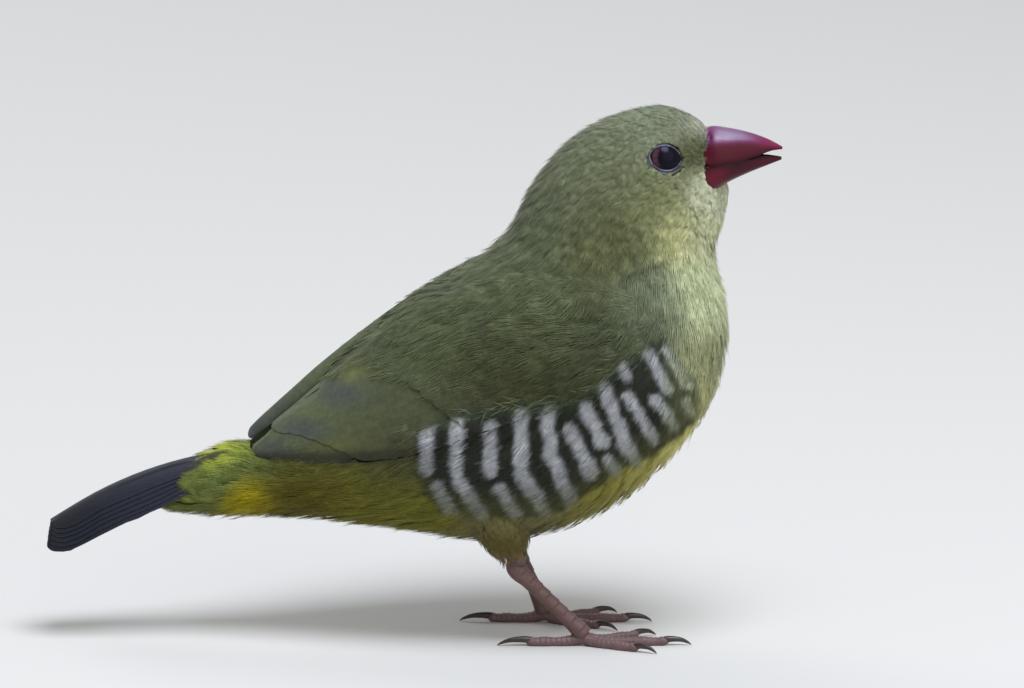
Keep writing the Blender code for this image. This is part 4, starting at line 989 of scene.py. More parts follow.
def inner_vane(rows, lift, drop):
    """A wing's innermost feather, which turns down over its upper edge towards the other wing."""
    half_width = INNER_HALF_WIDTH

    def place(t, side, height):
        u = 0.36 + 0.64 * t
        side = side * (1 - 0.35 * ramp(t, 0.6, 1.0))
        rim = np.interp(u, [0.3, 0.6, 0.8, 0.9, 1.0], [1.35, 1.45, 1.35, 1.0, 0.6])
        on_top = on_wing(rows, u, np.full(len(u), 0.13), rim + lift)
        edge = on_wing(rows, u, np.full(len(u), 0.02), rim * 0.8 + lift)
        turn = (side / half_width + 1) / 2
        over = np.clip(1 - 3 * turn, 0, 1)[:, None]
        down = np.clip(1.5 * turn - 0.5, 0, 1)
        fall = np.stack([0 * u, -1.0 * np.sin(down * math.pi / 2) - height, -drop * down**1.3], 1)
        return edge + (on_top - edge) * over + fall

    made = vane(place, half_width, INNER_THICKNESS, WING_NUMBERS, -SHAFT_PLACE, 0.04)
    points, faces, normals, facts = compact(*made)
    t, b, barbs = facts.T
    # The part that turns down towards the other wing is painted darker, as shade in the gap between the
    # wings.
    shade = 1 - 0.4 * ramp(b, 0.55, 1.0) + 0.16 * soft_noise(points, 0.9, 26)
    colours = toward(INNER_OLIVE, INNER_GREY, ramp(t, 0.6, 1.0)) * shade[:, None]
    return [points, faces, normals, colours, barbs]


def part_way(ends, share):
    return np.array(ends[0]) * (1 - share) + np.array(ends[1]) * share


wing_look = vane_look("wing_vanes", 0.62)
WINGS = {}
for name, sign in SIDES:
    rows = WING_ROWS[sign]
    wing_parts = []
    for tier, (count, *ends) in WING_TIERS.items():
        for i in range(count):
            root, tip, half_width, top = [part_way(pair, i / (count - 1)) for pair in ends]
            ragged = 0.05 if tier == "covert" else 0.03
            points, faces, normals, facts = wing_vane(rows, root, tip, half_width, top, ragged)
            t, b, barbs = facts.T
            shade = 1 + 0.08 * (WING_NUMBERS.random() - 0.5) + 0.07 * ramp(b, 0.35, 0.9) * ramp(t, 0.3, 0.8)
            shade = shade * (1 - 0.16 * band_at(b, -SHAFT_PLACE, SHAFT_REACH))
            wing_parts.append([points, faces, normals, wing_colour(points) * shade[:, None], barbs])
    # The arm is one closed sheet that runs over the outside and back along the inside
    u, v = grid_of(*[np.linspace(0, 1, count) for count in ARM_GRID])
    outside = on_wing(rows, u, v, arm_height(u, v)).reshape(*ARM_GRID, 3)
    inside = on_wing(rows, u, v, np.full(len(u), -ARM_INSIDE)).reshape(*ARM_GRID, 3)
    arm = np.concatenate([outside, inside[:, ::-1]], 1)
    outwards = unit((arm - arm.mean(1, keepdims=True)).reshape(-1, 3) * (0.2, 1, 1))
    arm = arm.reshape(-1, 3)
    arm_faces = grid_faces(ARM_GRID[0], 2 * ARM_GRID[1], True)[:, ::-1]
    wing_parts.append([arm, arm_faces, outwards, wing_colour(arm) * 0.9, arm[:, 0]])
    wing_parts.append(inner_vane(rows, *INNER_LAY[sign]))
    points, faces, normals, colours, barbs = joined(wing_parts)
    WINGS[sign] = [points * (1, sign, 1), faces]
    mesh = mesh_of("wing_vanes_" + name, WINGS[sign][0], faces[:, ::sign], normals * (1, sign, 1))
    lay(mesh, "plumage", colours)
    lay(mesh, "barb", barbs)
    piece("wing_vanes_" + name, mesh, wing_look, "wing_plumage", "wing_" + name)


# Tail. Twelve stiff blackish-slate feathers, the middle pair on top, lie like tiles under a low
# roof. Each has a shaft and a faint paler edge, and their roots run in between the coverts.
TAIL_LINE = np.array([(-17.6, 22.1), (-23.9, 21.2), (-30.2, 19.5), (-36.2, 16.9), (-42.2, 13.3)])
TAIL_ROOF, ROOF_RIDGE = 1.05, 1.2  # slope of the roof's sides, and how broad its rounded ridge is
TAIL_PAIRS = 6
TAIL_STEP = 0.15
TAIL_HALF_WIDTH, TAIL_THICKNESS = 1.7, 0.14
TAIL_ROOTS, TAIL_ENDS = (0.4, 0.1), (0.85, 0.36)  # place across of the middle pair, step to the next
TAIL_REACH = 0.012  # each pair ends a little beyond the pair above it, and so the tips end in one line
TAIL_SLATE, TAIL_RIM = linear(17, 22, 37), linear(33, 37, 46)
TAIL_NUMBERS = np.random.default_rng(5)


def on_tail(u, side, height):
    x, z = along(TAIL_LINE, u).T
    ahead, behind = along(TAIL_LINE, u - 0.02), along(TAIL_LINE, u + 0.02)
    way = unit(behind - ahead)
    up = np.stack([-way[:, 1], np.zeros(len(u)), way[:, 0]], 1)
    up = up * np.where(up[:, 2:] < 0, -1, 1)
    fall = TAIL_ROOF * (np.sqrt(side**2 + ROOF_RIDGE**2) - ROOF_RIDGE)
    return np.stack([x, side, z], 1) + up * (height - fall)[:, None] - CENTRING


tail_parts = []
for pair in range(TAIL_PAIRS):
    for sign in (1, -1):
        length = 1 + TAIL_REACH * (pair - 1)
        level = (0.06 if sign > 0 else 0.0) - TAIL_STEP * pair

        def place(t, side, height):
            spread = np.minimum(1.0, 2 * t)
            closing = 1 - 0.16 * np.clip((t - 0.6) / 0.4, 0, 1)
            root, end = [first + step * pair for first, step in (TAIL_ROOTS, TAIL_ENDS)]
            middle = sign * (root * (1 - spread) + end * spread) * closing
            return on_tail(length * t, middle + sign * side, level + height)

        made = vane(place, TAIL_HALF_WIDTH - 0.03 * pair, TAIL_THICKNESS, TAIL_NUMBERS, SHAFT_PLACE, 0.03)
        points, faces, normals, facts = compact(*made)
        t, b, barbs = facts.T
        web = TAIL_SLATE * (1 + 0.14 * (TAIL_NUMBERS.random() - 0.5))
        colours = web * (1 - 0.58 * ramp(t, 0.4, 1.0))[:, None]
        colours = toward(colours, TAIL_RIM, 0.5 * band_at(np.abs(b), 0.97, 0.08))
        colours = colours * (1 - 0.4 * band_at(b, SHAFT_PLACE, SHAFT_REACH))[:, None]
        tail_parts.append([points, faces, normals, colours, barbs])
points, faces, normals, colours, barbs = joined(tail_parts)
mesh = mesh_of("tail_vanes", points, faces, normals)
lay(mesh, "plumage", colours)
lay(mesh, "barb", barbs)
piece("tail_vanes", mesh, vane_look("tail_vanes", 0.5), "tail_plumage", "tail")


# Contour feathers of the head, neck, trunk and tail root. Each is a short soft feather whose loose
# barbs spread like a comb. They are smallest round the bill and eyes, lie from the bill to the
# tail, part round each eye, and lap over the front, upper and lower edges of the folded wings.
FEATHER_SIZES = np.array([  # spacing, length, width at each section of the body
    (0.26, 0.85, 0.46), (0.28, 1.0, 0.52), (0.31, 1.3, 0.62), (0.35, 1.6, 0.74), (0.40, 1.9, 0.88),
    (0.46, 2.2, 1.0), (0.53, 2.6, 1.15), (0.62, 3.0, 1.3), (0.70, 3.4, 1.45), (0.77, 3.7, 1.55),
    (0.82, 3.9, 1.55), (0.84, 4.1, 1.6), (0.84, 4.2, 1.6), (0.84, 4.4, 1.6), (0.82, 4.6, 1.5),
    (0.78, 4.6, 1.35), (0.72, 4.2, 1.2), (0.68, 3.4, 1.05),
])
EYE_CLEAR = (2.2, 1.82)  # half length and half height of the bare ring round the eye
PARTING_RADIUS, PARTING_LEAST, PARTING_REACH = 1.75, 1.9, 7  # of the stream of feathers round the eye
TRIES = 4  # drawn places for each root that is wanted
ROOM = 0.9  # of the spacing, free of other roots round each root
coat_numbers = np.random.default_rng(7)
FRINGE_COLOUR = linear(94, 101, 72)
feather_soft = feather_look("contour_feathers", 0.1, 0.78)


def comb(count, barbs, steps):
    """Places of the vertices of like feathers, as shares of length and of half width, and their triangles."""
    edges = np.linspace(-1, 1, barbs + 1)
    middles = (edges[:-1] + edges[1:]) / 2
    base = np.array([(0, -0.12), (0, 0.12), (0.26, -0.62), (0.26, 0), (0.26, 0.62)])
    rim = np.stack([0.5 - 0.2 * edges**2, 0.86 * edges], 1)
    start = (rim[:-1] + rim[1:]) / 2
    end = np.stack([1 - 0.36 * np.abs(middles) ** 2.2, 1.16 * middles], 1)
    end = end + coat_numbers.normal(size=(count, barbs, 2)) * (0.055, 0.08)
    levels = [np.tile(base, (count, 1, 1)), np.tile(rim, (count, 1, 1))]
    for k in range(1, steps):
        c = k / steps
        middle = start * (1 - c) + end * c
        middle[..., 1] += 0.12 * middles * math.sin(math.pi * c)
        half = (0.84 / barbs) * (1 - c) ** 0.6
        levels += [middle - (0, half), middle + (0, half)]
    levels.append(end)
    rim_at, middle_at = 5, barbs // 2
    faces = [(0, 2, 3), (0, 3, 1), (1, 3, 4)]
    faces += [(2, rim_at + j, rim_at + j + 1) for j in range(middle_at)]
    faces += [(2, rim_at + middle_at, 3), (3, rim_at + middle_at, 4)]
    faces += [(4, rim_at + j, rim_at + j + 1) for j in range(middle_at, barbs)]
    first = rim_at + barbs + 1
    for j in range(barbs):
        left, right = rim_at + j, rim_at + j + 1
        for k in range(steps - 1):
            next_left, next_right = first + 2 * k * barbs + j, first + (2 * k + 1) * barbs + j
            faces += [(left, next_left, next_right), (left, next_right, right)]
            left, right = next_left, next_right
        faces.append((left, first + 2 * (steps - 1) * barbs + j, right))
    barb_of = np.concatenate([np.full(5 + barbs + 1, -1)] + [np.arange(barbs)] * (2 * steps - 1))
    return np.concatenate(levels, 1), np.array(faces), barb_of


def varied(count, spread=0.12):
    """Random sizes near 1, one for each feather."""
    return np.exp(coat_numbers.normal(size=count) * spread)


def turned(way, side, angle):
    return way * np.cos(angle)[:, None] + side * np.sin(angle)[:, None]


def feathers(surface, slopes, p, q, angle, length, width, depth, barbs, steps, raised=None, bend=None,
             fluff=1.0):
    """Comb feathers rooted at p, q on a surface.

    It gives points, normals, triangles, and share of length, place across, feather and barb for each point.
    """
    length, width, depth = [np.broadcast_to(size, len(p))[:, None] for size in (length, width, depth)]
    spots, along_p, along_q, outwards = frame_on(surface, p, q, slopes)
    ahead = unit(along_p)
    side = np.cross(outwards, ahead)
    way = turned(ahead, side, angle)
    if bend is not None:
        way = bend(spots, way, outwards)
    across = np.cross(outwards, way)
    pp, pq, qq = [(a * b).sum(1) for a, b in ((along_p, along_p), (along_p, along_q), (along_q, along_q))]
    scale = pp * qq - pq * pq
    moves = []
    for direction in (way, across):
        on_p, on_q = (direction * along_p).sum(1), (direction * along_q).sum(1)
        moves.append(((on_p * qq - on_q * pq) / scale, (on_q * pp - on_p * pq) / scale))
    layout, faces, barb_of = comb(len(p), barbs, steps)
    share, flank = layout[..., 0], layout[..., 1]
    a, b = share * length, flank * width / 2
    at_p = (p[:, None] + a * moves[0][0][:, None] + b * moves[1][0][:, None]).ravel()
    at_q = (q[:, None] + a * moves[0][1][:, None] + b * moves[1][1][:, None]).ravel()
    places, _, _, normals = frame_on(surface, at_p, at_q, slopes)
    lift = coat_numbers.normal(size=(len(p), 1)) * 0.07 * fluff + 0.05
    loose = coat_numbers.normal(size=layout.shape[:2]) * 0.05 * fluff * (share > 0.9)
    height = -depth * (1 - np.clip(share, 0, 1)) ** 1.3
    stray = (coat_numbers.random((len(p), 1)) < 0.02 * fluff) * coat_numbers.random((len(p), 1)) * 0.5
    height = height + depth * ((lift + loose + stray) * share**2 - 0.1 * flank**2)
    height = height.ravel()
    if raised is not None:
        height = height + raised(at_p, at_q)
    sway = coat_numbers.normal(size=(len(p), 1, 3)) * 0.1
    points = places + normals * height[:, None]
    normals = normals.reshape(*layout.shape[:2], 3) + sway + across[:, None] * (flank * 0.3)[..., None]
    normals = normals + way[:, None] * (0.25 * ramp(share, 0.6, 1.0))[..., None]
    number = np.arange(len(p))
    feather = np.repeat(number, layout.shape[1])
    triangles = (faces[None] + (number * layout.shape[1])[:, None, None]).reshape(-1, 3)
    barb = np.tile(barb_of, len(p)) + feather * barbs * (np.tile(barb_of, len(p)) >= 0)
    return points, unit(normals.reshape(-1, 3)), triangles, share.ravel(), flank.ravel(), feather, barb


def scatter(surface, slopes, spacing, p_range, q_range, cells):
    """Roots spread evenly over a surface, each about spacing(p, q) from its neighbours."""
    p = np.linspace(*p_range, cells[0] + 1)
    q = np.linspace(*q_range, cells[1] + 1)
    step_p, step_q = p[1] - p[0], q[1] - q[0]
    p, q = grid_of(p[:-1] + step_p / 2, q[:-1] + step_q / 2)
    _, along_p, along_q, _ = frame_on(surface, p, q, slopes)
    wanted = np.linalg.norm(np.cross(along_p, along_q), axis=1) * step_p * step_q / spacing(p, q) ** 2
    count = int(wanted.sum() * TRIES)
    cell = coat_numbers.choice(len(p), count, p=wanted / wanted.sum())
    p = p[cell] + (coat_numbers.random(count) - 0.5) * step_p
    q = q[cell] + (coat_numbers.random(count) - 0.5) * step_q
    spots, reach = surface(p, q), spacing(p, q) * ROOM
    tree = KDTree(count)
    for i, spot in enumerate(spots):
        tree.insert(spot, i)
    tree.balance()
    free, kept = np.ones(count, bool), np.zeros(count, bool)
    for i in range(count):
        if free[i]:
            for _, j, _ in tree.find_range(spots[i], reach[i]):
                free[j] = kept[j] = False
            kept[i] = True
    return p[kept], q[kept]


# Where the wings lie over the body, and how far out, on a grid of places that goes right round it
COVERT_REACH = 0.7
COVERT_SLANT = 0.26
COVERT_GRID = (40, 24)
WING_GRID = (221, 240)  # places along the body and round it
FAR_OUT = 5  # where the rays that look for the wings start, outside the body
FAR_IN = 1.2  # how far they go on inside it
NO_WING = -9.0
NEAR_BLUR, WIDE_BLUR, BRIDGE = 5, 45, 12  # steps over which the wings' cover is spread, and gaps are bridged
WING_LAP = 0.12


def wing_outside(rows, u, v):
    """The surface that the soft coverts of a wing lie on, just over its vanes."""
    slope = 1 - 0.48 * ramp(u - COVERT_REACH + COVERT_SLANT * np.asarray(v), -0.24, 0.04)
    full = 1.75 * wing_round(rows, u, v) * ramp(u, -0.05, 0.16) * slope
    return on_wing(rows, u, v, 0.6 + full)


over_parts = []
for sign, wing in WINGS.items():
    u, v = grid_of(np.linspace(0, COVERT_REACH, COVERT_GRID[0]), np.linspace(0.01, 0.99, COVERT_GRID[1]))
    cover = wing_outside(WING_ROWS[sign], u, v) * (1, sign, 1)
    over_parts += [wing, [cover, grid_faces(*COVERT_GRID, False)]]
over_points, over_faces = joined(over_parts)
wing_tree = BVHTree.FromPolygons(over_points.tolist(), over_faces.tolist())
t, turn = grid_of(np.linspace(0, 1, WING_GRID[0]), np.arange(WING_GRID[1]) * FULL_TURN / WING_GRID[1])
spots, _, _, outwards = frame_on(outer_body, t, turn)
above = np.full(len(t), NO_WING)
for i, (spot, way) in enumerate(zip(spots, outwards)):
    hit = wing_tree.ray_cast(Vector(spot + way * FAR_OUT), Vector(-way), FAR_OUT + FAR_IN)
    if hit[0] is not None:
        above[i] = FAR_OUT - hit[3]
above, t, turn = [values.reshape(WING_GRID) for values in (above, t, turn)]
covered = above > -1


def blurred(grid, times):
    """A grid with its values spread over their neighbours; its columns go round in a ring."""
    for _ in range(times):
        wide = np.pad(np.pad(grid, ((1, 1), (0, 0)), mode="edge"), ((0, 0), (1, 1)), mode="wrap")
        grid = sum(wide[i : i + grid.shape[0], j : j + grid.shape[1]] for i in range(3) for j in range(3)) / 9
    return grid


wing_cover = blurred(covered.astype(float), NEAR_BLUR)
wing_cover_wide = blurred(covered.astype(float), WIDE_BLUR)
wing_rise = np.where(covered, np.maximum(above + WING_LAP, 0), 0)
# Narrow gaps between the wings are bridged: each value spreads round the ring and draws back again
for pick in (np.max, np.min):
    wing_rise = pick([np.roll(wing_rise, step, 1) for step in range(-BRIDGE, BRIDGE + 1)], axis=0)
wing_rise = blurred(wing_rise, 2)
# Behind the shoulders the feathers of the back stay under the wings
under_wings = ramp(t, 0.67, 0.71) * ramp(np.cos(turn), -0.1, 0.3)
wing_rise = wing_rise * (1 - under_wings)


def look_up(grid, t, turn):
    """A grid's value at places on the body."""
    row = np.clip(t, 0, 1) * (WING_GRID[0] - 1)
    column = turn / FULL_TURN * WING_GRID[1] % WING_GRID[1]
    i = np.minimum(row.astype(int), WING_GRID[0] - 2)
    j = np.minimum(column.astype(int), WING_GRID[1] - 1)
    k = (j + 1) % WING_GRID[1]
    f, g = row - i, column - j
    near = grid[i, j] * (1 - g) + grid[i, k] * g
    return near * (1 - f) + (grid[i + 1, j] * (1 - g) + grid[i + 1, k] * g) * f


def over_wing(t, turn):
    return look_up(wing_rise, t, turn)


def eye_distance(spots):
    """How far points are from the nearer eye, and its offsets along and up, in the opening's own axes."""
    sign = np.where(spots[:, 1] > 0, 1, -1)
    away, along_eye, up_eye = np.empty(len(spots)), np.empty(len(spots)), np.empty(len(spots))
    for side, (spot, axis, ahead, up) in EYES.items():
        here = sign == side
        offset = spots[here] - spot
        away[here] = np.linalg.norm(offset, axis=1)
        along_eye[here], up_eye[here] = offset @ ahead, offset @ up
    return away, along_eye, up_eye


def round_the_eye(spots, way, outwards):
    """The lie of the feathers, parted round the lids as a stream parts round a stone."""
    sign = np.where(spots[:, 1] > 0, 1, -1)
    centre = np.where(sign[:, None] > 0, EYES[1][0], EYES[-1][0])
    offset = spots - centre
    across = np.cross(outwards, way)
    r1, r2 = (offset * way).sum(1), (offset * across).sum(1)
    far = np.maximum(np.hypot(r1, r2), PARTING_LEAST)
    near = np.linalg.norm(offset, axis=1) < PARTING_REACH
    share = (PARTING_RADIUS / far) ** 2 * near
    part_along = 1 - share * (r1**2 - r2**2) / far**2
    part_across = -2 * share * r1 * r2 / far**2
    return unit(way * part_along[:, None] + across * part_across[:, None])


GAPE_X, GAPE_HALF_WIDTH, GAPE_HEIGHT, GAPE_REACH = 33.0, 2.6, 55.6, 0.6  # the root of the open mouth


def in_bill(spots, margin):
    """Which points lie inside the bill's root."""
    spots = spots + CENTRING
    x, y, z = spots[:, 0], np.abs(spots[:, 1]), spots[:, 2]
    inside = np.zeros(len(x), bool)
    for rows, side in ((BILL_UPPER, 1), (BILL_LOWER, -1)):
        share = np.interp(x, rows[:, 0], np.linspace(0, 1, len(rows)))
        _, ridge, edge, half_width = along(rows, share).T
        depth = np.maximum(side * (z - edge), 0) / (np.abs(ridge - edge) + margin)
        half = (y / (half_width + margin)) ** (2 / BILL_BREADTH[side]) + depth ** (2 / BILL_ROUNDING) < 1
        inside |= half & (side * (z - edge) > -0.3) & (x > rows[0][0] - margin)
    between = (x > GAPE_X) & (y < GAPE_HALF_WIDTH) & (np.abs(z - GAPE_HEIGHT) < GAPE_REACH)
    return inside | between


def body_spacing(t, turn):
    away = eye_distance(outer_body(t, turn))[0]
    return along(FEATHER_SIZES, t)[:, 0] * (0.62 + 0.38 * ramp(away, 1.6, 4.5))


def baked(share):
    """A place from 0 to 1 on the bake map, clear of its rim."""
    return 0.02 + 0.96 * share


def coat_piece(name, slot, data, bake_u, bake_v, seed, mirror=1, colour=None):
    """One joined mesh of feathers, with its colours and its bake map."""
    points, normals, triangles, share, flank, feather, barb = data
    numbers = np.random.default_rng(seed)
    points = points * (1, mirror, 1)
    normals = normals * (1, mirror, 1)
    colours = plumage(points) if colour is None else np.tile(colour, (len(points), 1))
    tint = 1 + numbers.normal(size=feather.max() + 1) * 0.06
    fine = 1 + numbers.normal(size=barb.max() + 2) * 0.07
    # Each feather is painted darker towards its root, as shade under the feathers that lie over it, and a
    # little lighter at its tip.
    shade = (0.82 + 0.18 * ramp(share, 0.3, 0.72)) * (1 + 0.05 * ramp(share, 0.85, 1.0))
    colours = colours * (tint[feather] * fine[barb] * shade)[:, None]
    mesh = mesh_of(name, points, triangles[:, ::mirror], normals)
    lay(mesh, "plumage", np.clip(colours, 0, 1))
    patch = np.stack([bake_u[feather] + (share - 0.5) * 0.003, bake_v[feather] + flank * 0.0013], 1)
    corners = np.empty(len(mesh.loops), np.int32)
    mesh.loops.foreach_get("vertex_index", corners)
    bake = mesh.uv_layers.new(name="OFBake")
    bake.uv.foreach_set("vector", patch[corners].astype(np.float32).ravel())
    piece(name, mesh, feather_soft, slot)


body_range = ((0.0, 1.0), (0.0, FULL_TURN), (240, 160))
t, turn = scatter(outer_body, BODY_STEPS, body_spacing, *body_range)
roots = outer_body(t, turn)
away, along_eye, up_eye = eye_distance(roots)
ahead_of_eye = np.where(along_eye > 0, 1.26, 1.0)
on_lids = (np.hypot(along_eye / EYE_CLEAR[0] / ahead_of_eye, up_eye / EYE_CLEAR[1]) < 1) & (away < 3.5)
height = seen_height(roots)
on_bars = (height < np.interp(roots[:, 0], *FLANK_TOP.T) + 0.5) & (roots[:, 0] > 0.8)
# Shoulder feathers lap over the wing's upper edge, and flank feathers over its lower edge
lapped = (look_up(wing_cover_wide, t, turn) < 0.86) & ((roots[:, 0] > -8) | on_bars)
open_to_air = (look_up(wing_cover, t, turn) < 0.93) | lapped | on_bars | (look_up(under_wings, t, turn) > 0.9)
kept = ~on_lids & ~in_bill(roots, -0.4) & open_to_air
t, turn, roots, away = t[kept], turn[kept], roots[kept], away[kept]
BODY_GROUPS = [  # name, first and last section, barbs, steps of a barb, slot, how loosely they lie
    ("face_feathers", 0, 3.2, 5, 2, "head_plumage", 3.0),
    ("crown_feathers", 3.2, 6, 7, 2, "head_plumage", 3.4),
    ("neck_feathers", 6, 8.2, 7, 3, "head_plumage", 1.6),
    ("breast_feathers", 8.2, 9.9, 9, 4, "body_plumage", 1.2),
    ("flank_feathers", 9.9, 11.8, 9, 4, "body_plumage", 1.2),
    ("belly_feathers", 11.8, 14, 9, 3, "body_plumage", 1.4),
    ("covert_feathers", 14, 18, 9, 3, "body_plumage", 1.4),
]
last = len(BODY_SECTIONS) - 1
for number, (name, first, end, barbs, steps, slot, fluff) in enumerate(BODY_GROUPS):
    here = (t * last >= first) & (t * last < end)
    p, q = t[here], turn[here]
    spacing, length, width = along(FEATHER_SIZES, p).T
    small = 0.55 + 0.45 * ramp(away[here], 1.9, 5.0)
    vary = varied(len(p))
    length, width = length * small * vary, width * small * vary
    slope = np.linalg.norm(frame_on(outer_body, p, q)[1], axis=1)
    length = np.minimum(length, (1.025 - p) * slope + 0.7)
    depth = along(COAT_DEPTH, p)[:, 0] * (0.35 + 0.65 * ramp(away[here], 1.9, 4.5))
    angle = 0.3 * soft_noise(roots[here], 3.0, 14) + 0.1 * soft_noise(roots[here], 1.0, 15)
    angle = angle + coat_numbers.normal(size=len(p)) * 0.1
    data = feathers(
        outer_body, BODY_STEPS, p, q, angle, length, width, depth, barbs, steps,
        raised=over_wing, bend=round_the_eye, fluff=fluff,
    )
    coat_piece(name, slot, data, baked(p), baked(q / FULL_TURN % 1.0), 30 + number)

# Loose pale barbs lie over the lower edge of the wing, above the bars of the flank
x, height = roots[:, 0] + CENTRING[0], seen_height(roots)
here = (np.abs(height - np.interp(x, *FLANK_TOP.T)) < 0.8) & (x > 6) & (x < 27)
p = np.repeat(t[here], 3)
p = p + coat_numbers.normal(size=len(p)) * 0.003
q = np.repeat(turn[here], 3) + coat_numbers.normal(size=len(p)) * 0.02
angle = np.sign(np.sin(q)) * (0.5 + 0.35 * coat_numbers.normal(size=len(p)))
length = 1.6 * varied(len(p), 0.25)
data = feathers(
    outer_body, BODY_STEPS, p, q, angle, length, 0.13, 0.4, 1, 5,
    raised=lambda at_t, at_turn: over_wing(at_t, at_turn) + 0.1, fluff=2.0,
)
bake_v = baked(q / FULL_TURN % 1.0)
coat_piece("flank_fringe", "body_plumage", data, baked(p), bake_v, 44, colour=FRINGE_COLOUR)


SLEEVE_START, SLEEVE_LENGTH, SLEEVE_GAP = 32.1, 1.3, 0.1


def bill_sleeve(p, q):
    """A sleeve just over the bill's root: p forwards from the face, q from the culmen round to the right."""
    up, across = np.cos(q), np.sin(q)
    below = ramp(-up, -0.15, 0.15)
    x = SLEEVE_START + 0.35 * up + 2.3 * ramp(-up, 0.8, 1.0) + SLEEVE_LENGTH * p
    ends = []
    for rows in (BILL_UPPER, BILL_LOWER):
        share = np.interp(x, rows[:, 0], np.linspace(0, 1, len(rows)))
        ends.append(np.moveaxis(along(rows, share), -1, 0))
    (_, ridge, upper_edge, upper_half), (_, foot, lower_edge, lower_half) = ends
    edge = upper_edge + (lower_edge - upper_edge) * below
    half = upper_half + (lower_half - upper_half) * below + SLEEVE_GAP
    reach = np.where(up > 0, ridge - edge, edge - foot) + SLEEVE_GAP
    z = edge + reach * np.sign(up) * np.abs(up) ** BILL_ROUNDING
    y = -half * np.sign(across) * np.abs(across) ** (0.9 - 0.28 * below)
    return np.stack([x, y, z], -1) - CENTRING


# Short feathers on the bill's root lean forwards over the horn and soften the edge of the face
count = 760
p = coat_numbers.random(count) * 0.55
q = coat_numbers.random(count) * FULL_TURN
length = 0.75 * varied(count, 0.2)
angle = coat_numbers.normal(size=count) * 0.3
data = feathers(bill_sleeve, (0.01, 0.02), p, q, angle, length, 0.3, 0.16, 3, 2, fluff=3.0)
coat_piece("bill_fringe", "head_plumage", data, 0.01 + 0.01 * p, baked(q / FULL_TURN), 45)


# Lesser and median coverts: the soft feathers that cover the front and middle of each folded wing,
# so that it shows no hard edge. Their rows run from the bend of the wing back over the vanes.
def covert_spacing(u, v):
    return 0.74 + 0.2 * ramp(u, 0.1, 0.6)


for name, sign in SIDES:
    rows = WING_ROWS[sign]

    def outside(u, v):
        return wing_outside(rows, u, v)

    u, v = scatter(outside, WING_STEPS, covert_spacing, (0.0, COVERT_REACH), (0.02, 0.98), (70, 40))
    rear = COVERT_REACH - 0.02 - COVERT_SLANT * v + 0.03 * soft_noise(outside(u, v), 2.5, 18)
    u, v = u[u < rear], v[u < rear]
    vary = varied(len(u))
    length = (3.0 + 2.0 * ramp(u, 0.1, 0.6)) * vary
    width = (1.4 + 0.5 * ramp(u, 0.1, 0.6)) * vary
    angle = 0.25 * soft_noise(outside(u, v), 3.0, 17) + coat_numbers.normal(size=len(u)) * 0.1
    data = feathers(outside, WING_STEPS, u, v, angle, length, width, 0.75, 9, 3)
    coat_piece("lesser_coverts_" + name, "wing_plumage", data, baked(u), baked(v), 50 + sign, sign)


# Thigh feathers: short soft feathers that point down the leg and stop just above the heel.
def thigh_spacing(share, turn):
    return 0.62 - 0.12 * np.clip(share, 0, 1)


thigh_steps = (0.01, 0.02)
share, turn = scatter(outer_thigh, thigh_steps, thigh_spacing, (0.0, 0.97), (0.0, FULL_TURN), (40, 60))
outside = []
for spot in outer_thigh(share, turn):
    near, normal, _, far = outline_tree.find_nearest(Vector(spot))
    centre = Vector((near.x, 0, near.z + 8))
    outside.append((Vector(spot) - near).dot(near - centre) > 0 or far < 1.2)
share, turn = share[outside], turn[outside]
for name, sign in SIDES:
    vary = varied(len(share))
    length = np.minimum(2.4 - 0.9 * share, (1.06 - share) * 9.6 + 0.5) * vary
    angle = coat_numbers.normal(size=len(share)) * 0.15
    width = (1.1 - 0.4 * share) * vary
    data = feathers(outer_thigh, thigh_steps, share, turn, angle, length, width, THIGH_DEPTH, 7, 3)
    bake_v = baked(turn / FULL_TURN)
    coat_piece("thigh_feathers_" + name, "body_plumage", data, 0.02 + 0.9 * share, bake_v, 60 + sign, sign)


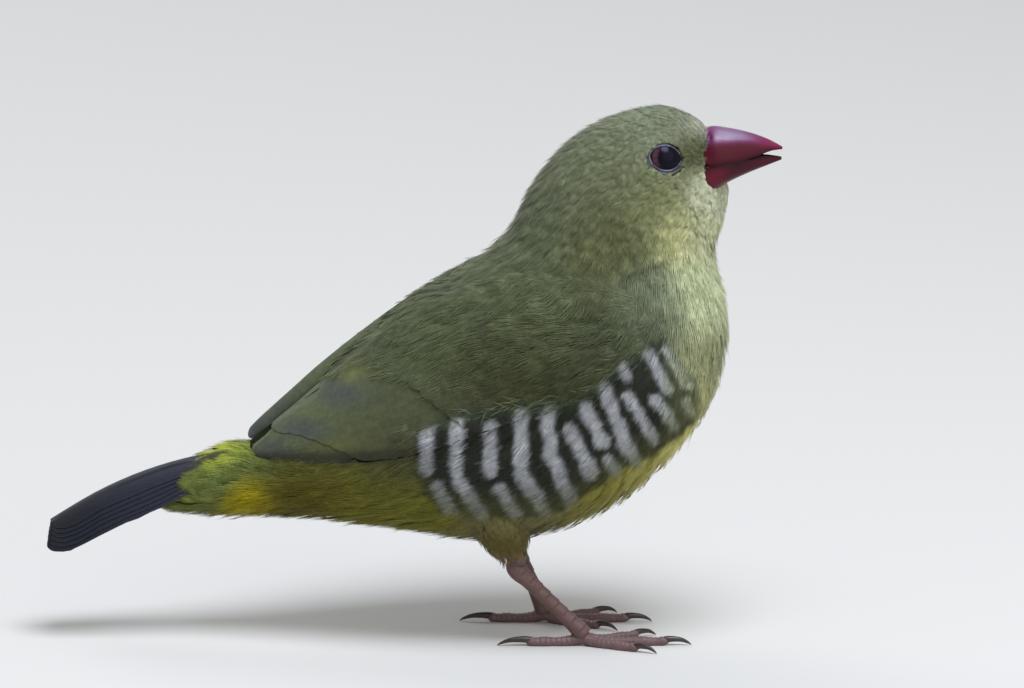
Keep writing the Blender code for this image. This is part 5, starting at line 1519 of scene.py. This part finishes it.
# Floor, light and camera: a plain pale floor, a wide soft light from above and softer ones from
# the sides, and a long lens that looks level along the bird's right side from a little above.
LAMPS = [  # name, place in metres, size in metres, power, colour
    ("overhead", (0.12, -0.25, 0.75), 0.45, 7.2, (0.88, 0.92, 1.0)),
    ("front", (0.5, -0.75, 0.5), 1.2, 3.8, (1.0, 0.98, 0.94)),
    ("behind", (-0.4, 0.6, 0.5), 0.6, 2.5, (1.0, 0.98, 0.95)),
]
SKY_COLOUR, SKY_STRENGTH = (0.92, 0.95, 1.0, 1), 0.48
FLOOR_REACH = 4
SENSOR_WIDTH = 36
FRAME_WIDTH = 0.1178
DISTANCE = 1.5


def aimed(name, data, place, target):
    """A lamp or the camera at a place, turned to look at a target."""
    made = placed(name, data)
    made.location = place
    made.rotation_mode = "QUATERNION"
    made.rotation_quaternion = (target - Vector(place)).to_track_quat("-Z", "Y")
    return made


floor_mesh = bpy.data.meshes.new("floor")
corners = [(x * FLOOR_REACH, y * FLOOR_REACH, 0) for x, y in ((-1, -1), (1, -1), (1, 1), (-1, 1))]
floor_mesh.from_pydata(corners, [], [(0, 1, 2, 3)])
floor_mesh.materials.append(new_look("pale_floor", {"Base Color": (0.52, 0.515, 0.5, 1), "Roughness": 0.9}))
floor = placed("floor", floor_mesh)

world = bpy.data.worlds.new("studio")
world.use_nodes = True
sky = world.node_tree.nodes["Background"]
sky.inputs["Color"].default_value = SKY_COLOUR
sky.inputs["Strength"].default_value = SKY_STRENGTH
scene = bpy.context.scene
scene.world = world
for name, place, size, power, colour in LAMPS:
    light = bpy.data.lights.new(name, "AREA")
    light.shape = "DISK"
    light.size = size
    light.energy = power
    light.color = colour
    aimed(name, light, place, Vector((0.01, 0, 0.03)))

middle = Vector((0.01135, 0, 0.0342))
camera_data = bpy.data.cameras.new("camera")
camera_data.sensor_width = SENSOR_WIDTH
camera_data.lens = SENSOR_WIDTH * DISTANCE / FRAME_WIDTH
viewpoint = middle + Vector((0, -math.cos(SIGHT), math.sin(SIGHT))) * DISTANCE
scene.camera = aimed("camera", camera_data, viewpoint, middle)
scene.view_settings.view_transform = "Standard"
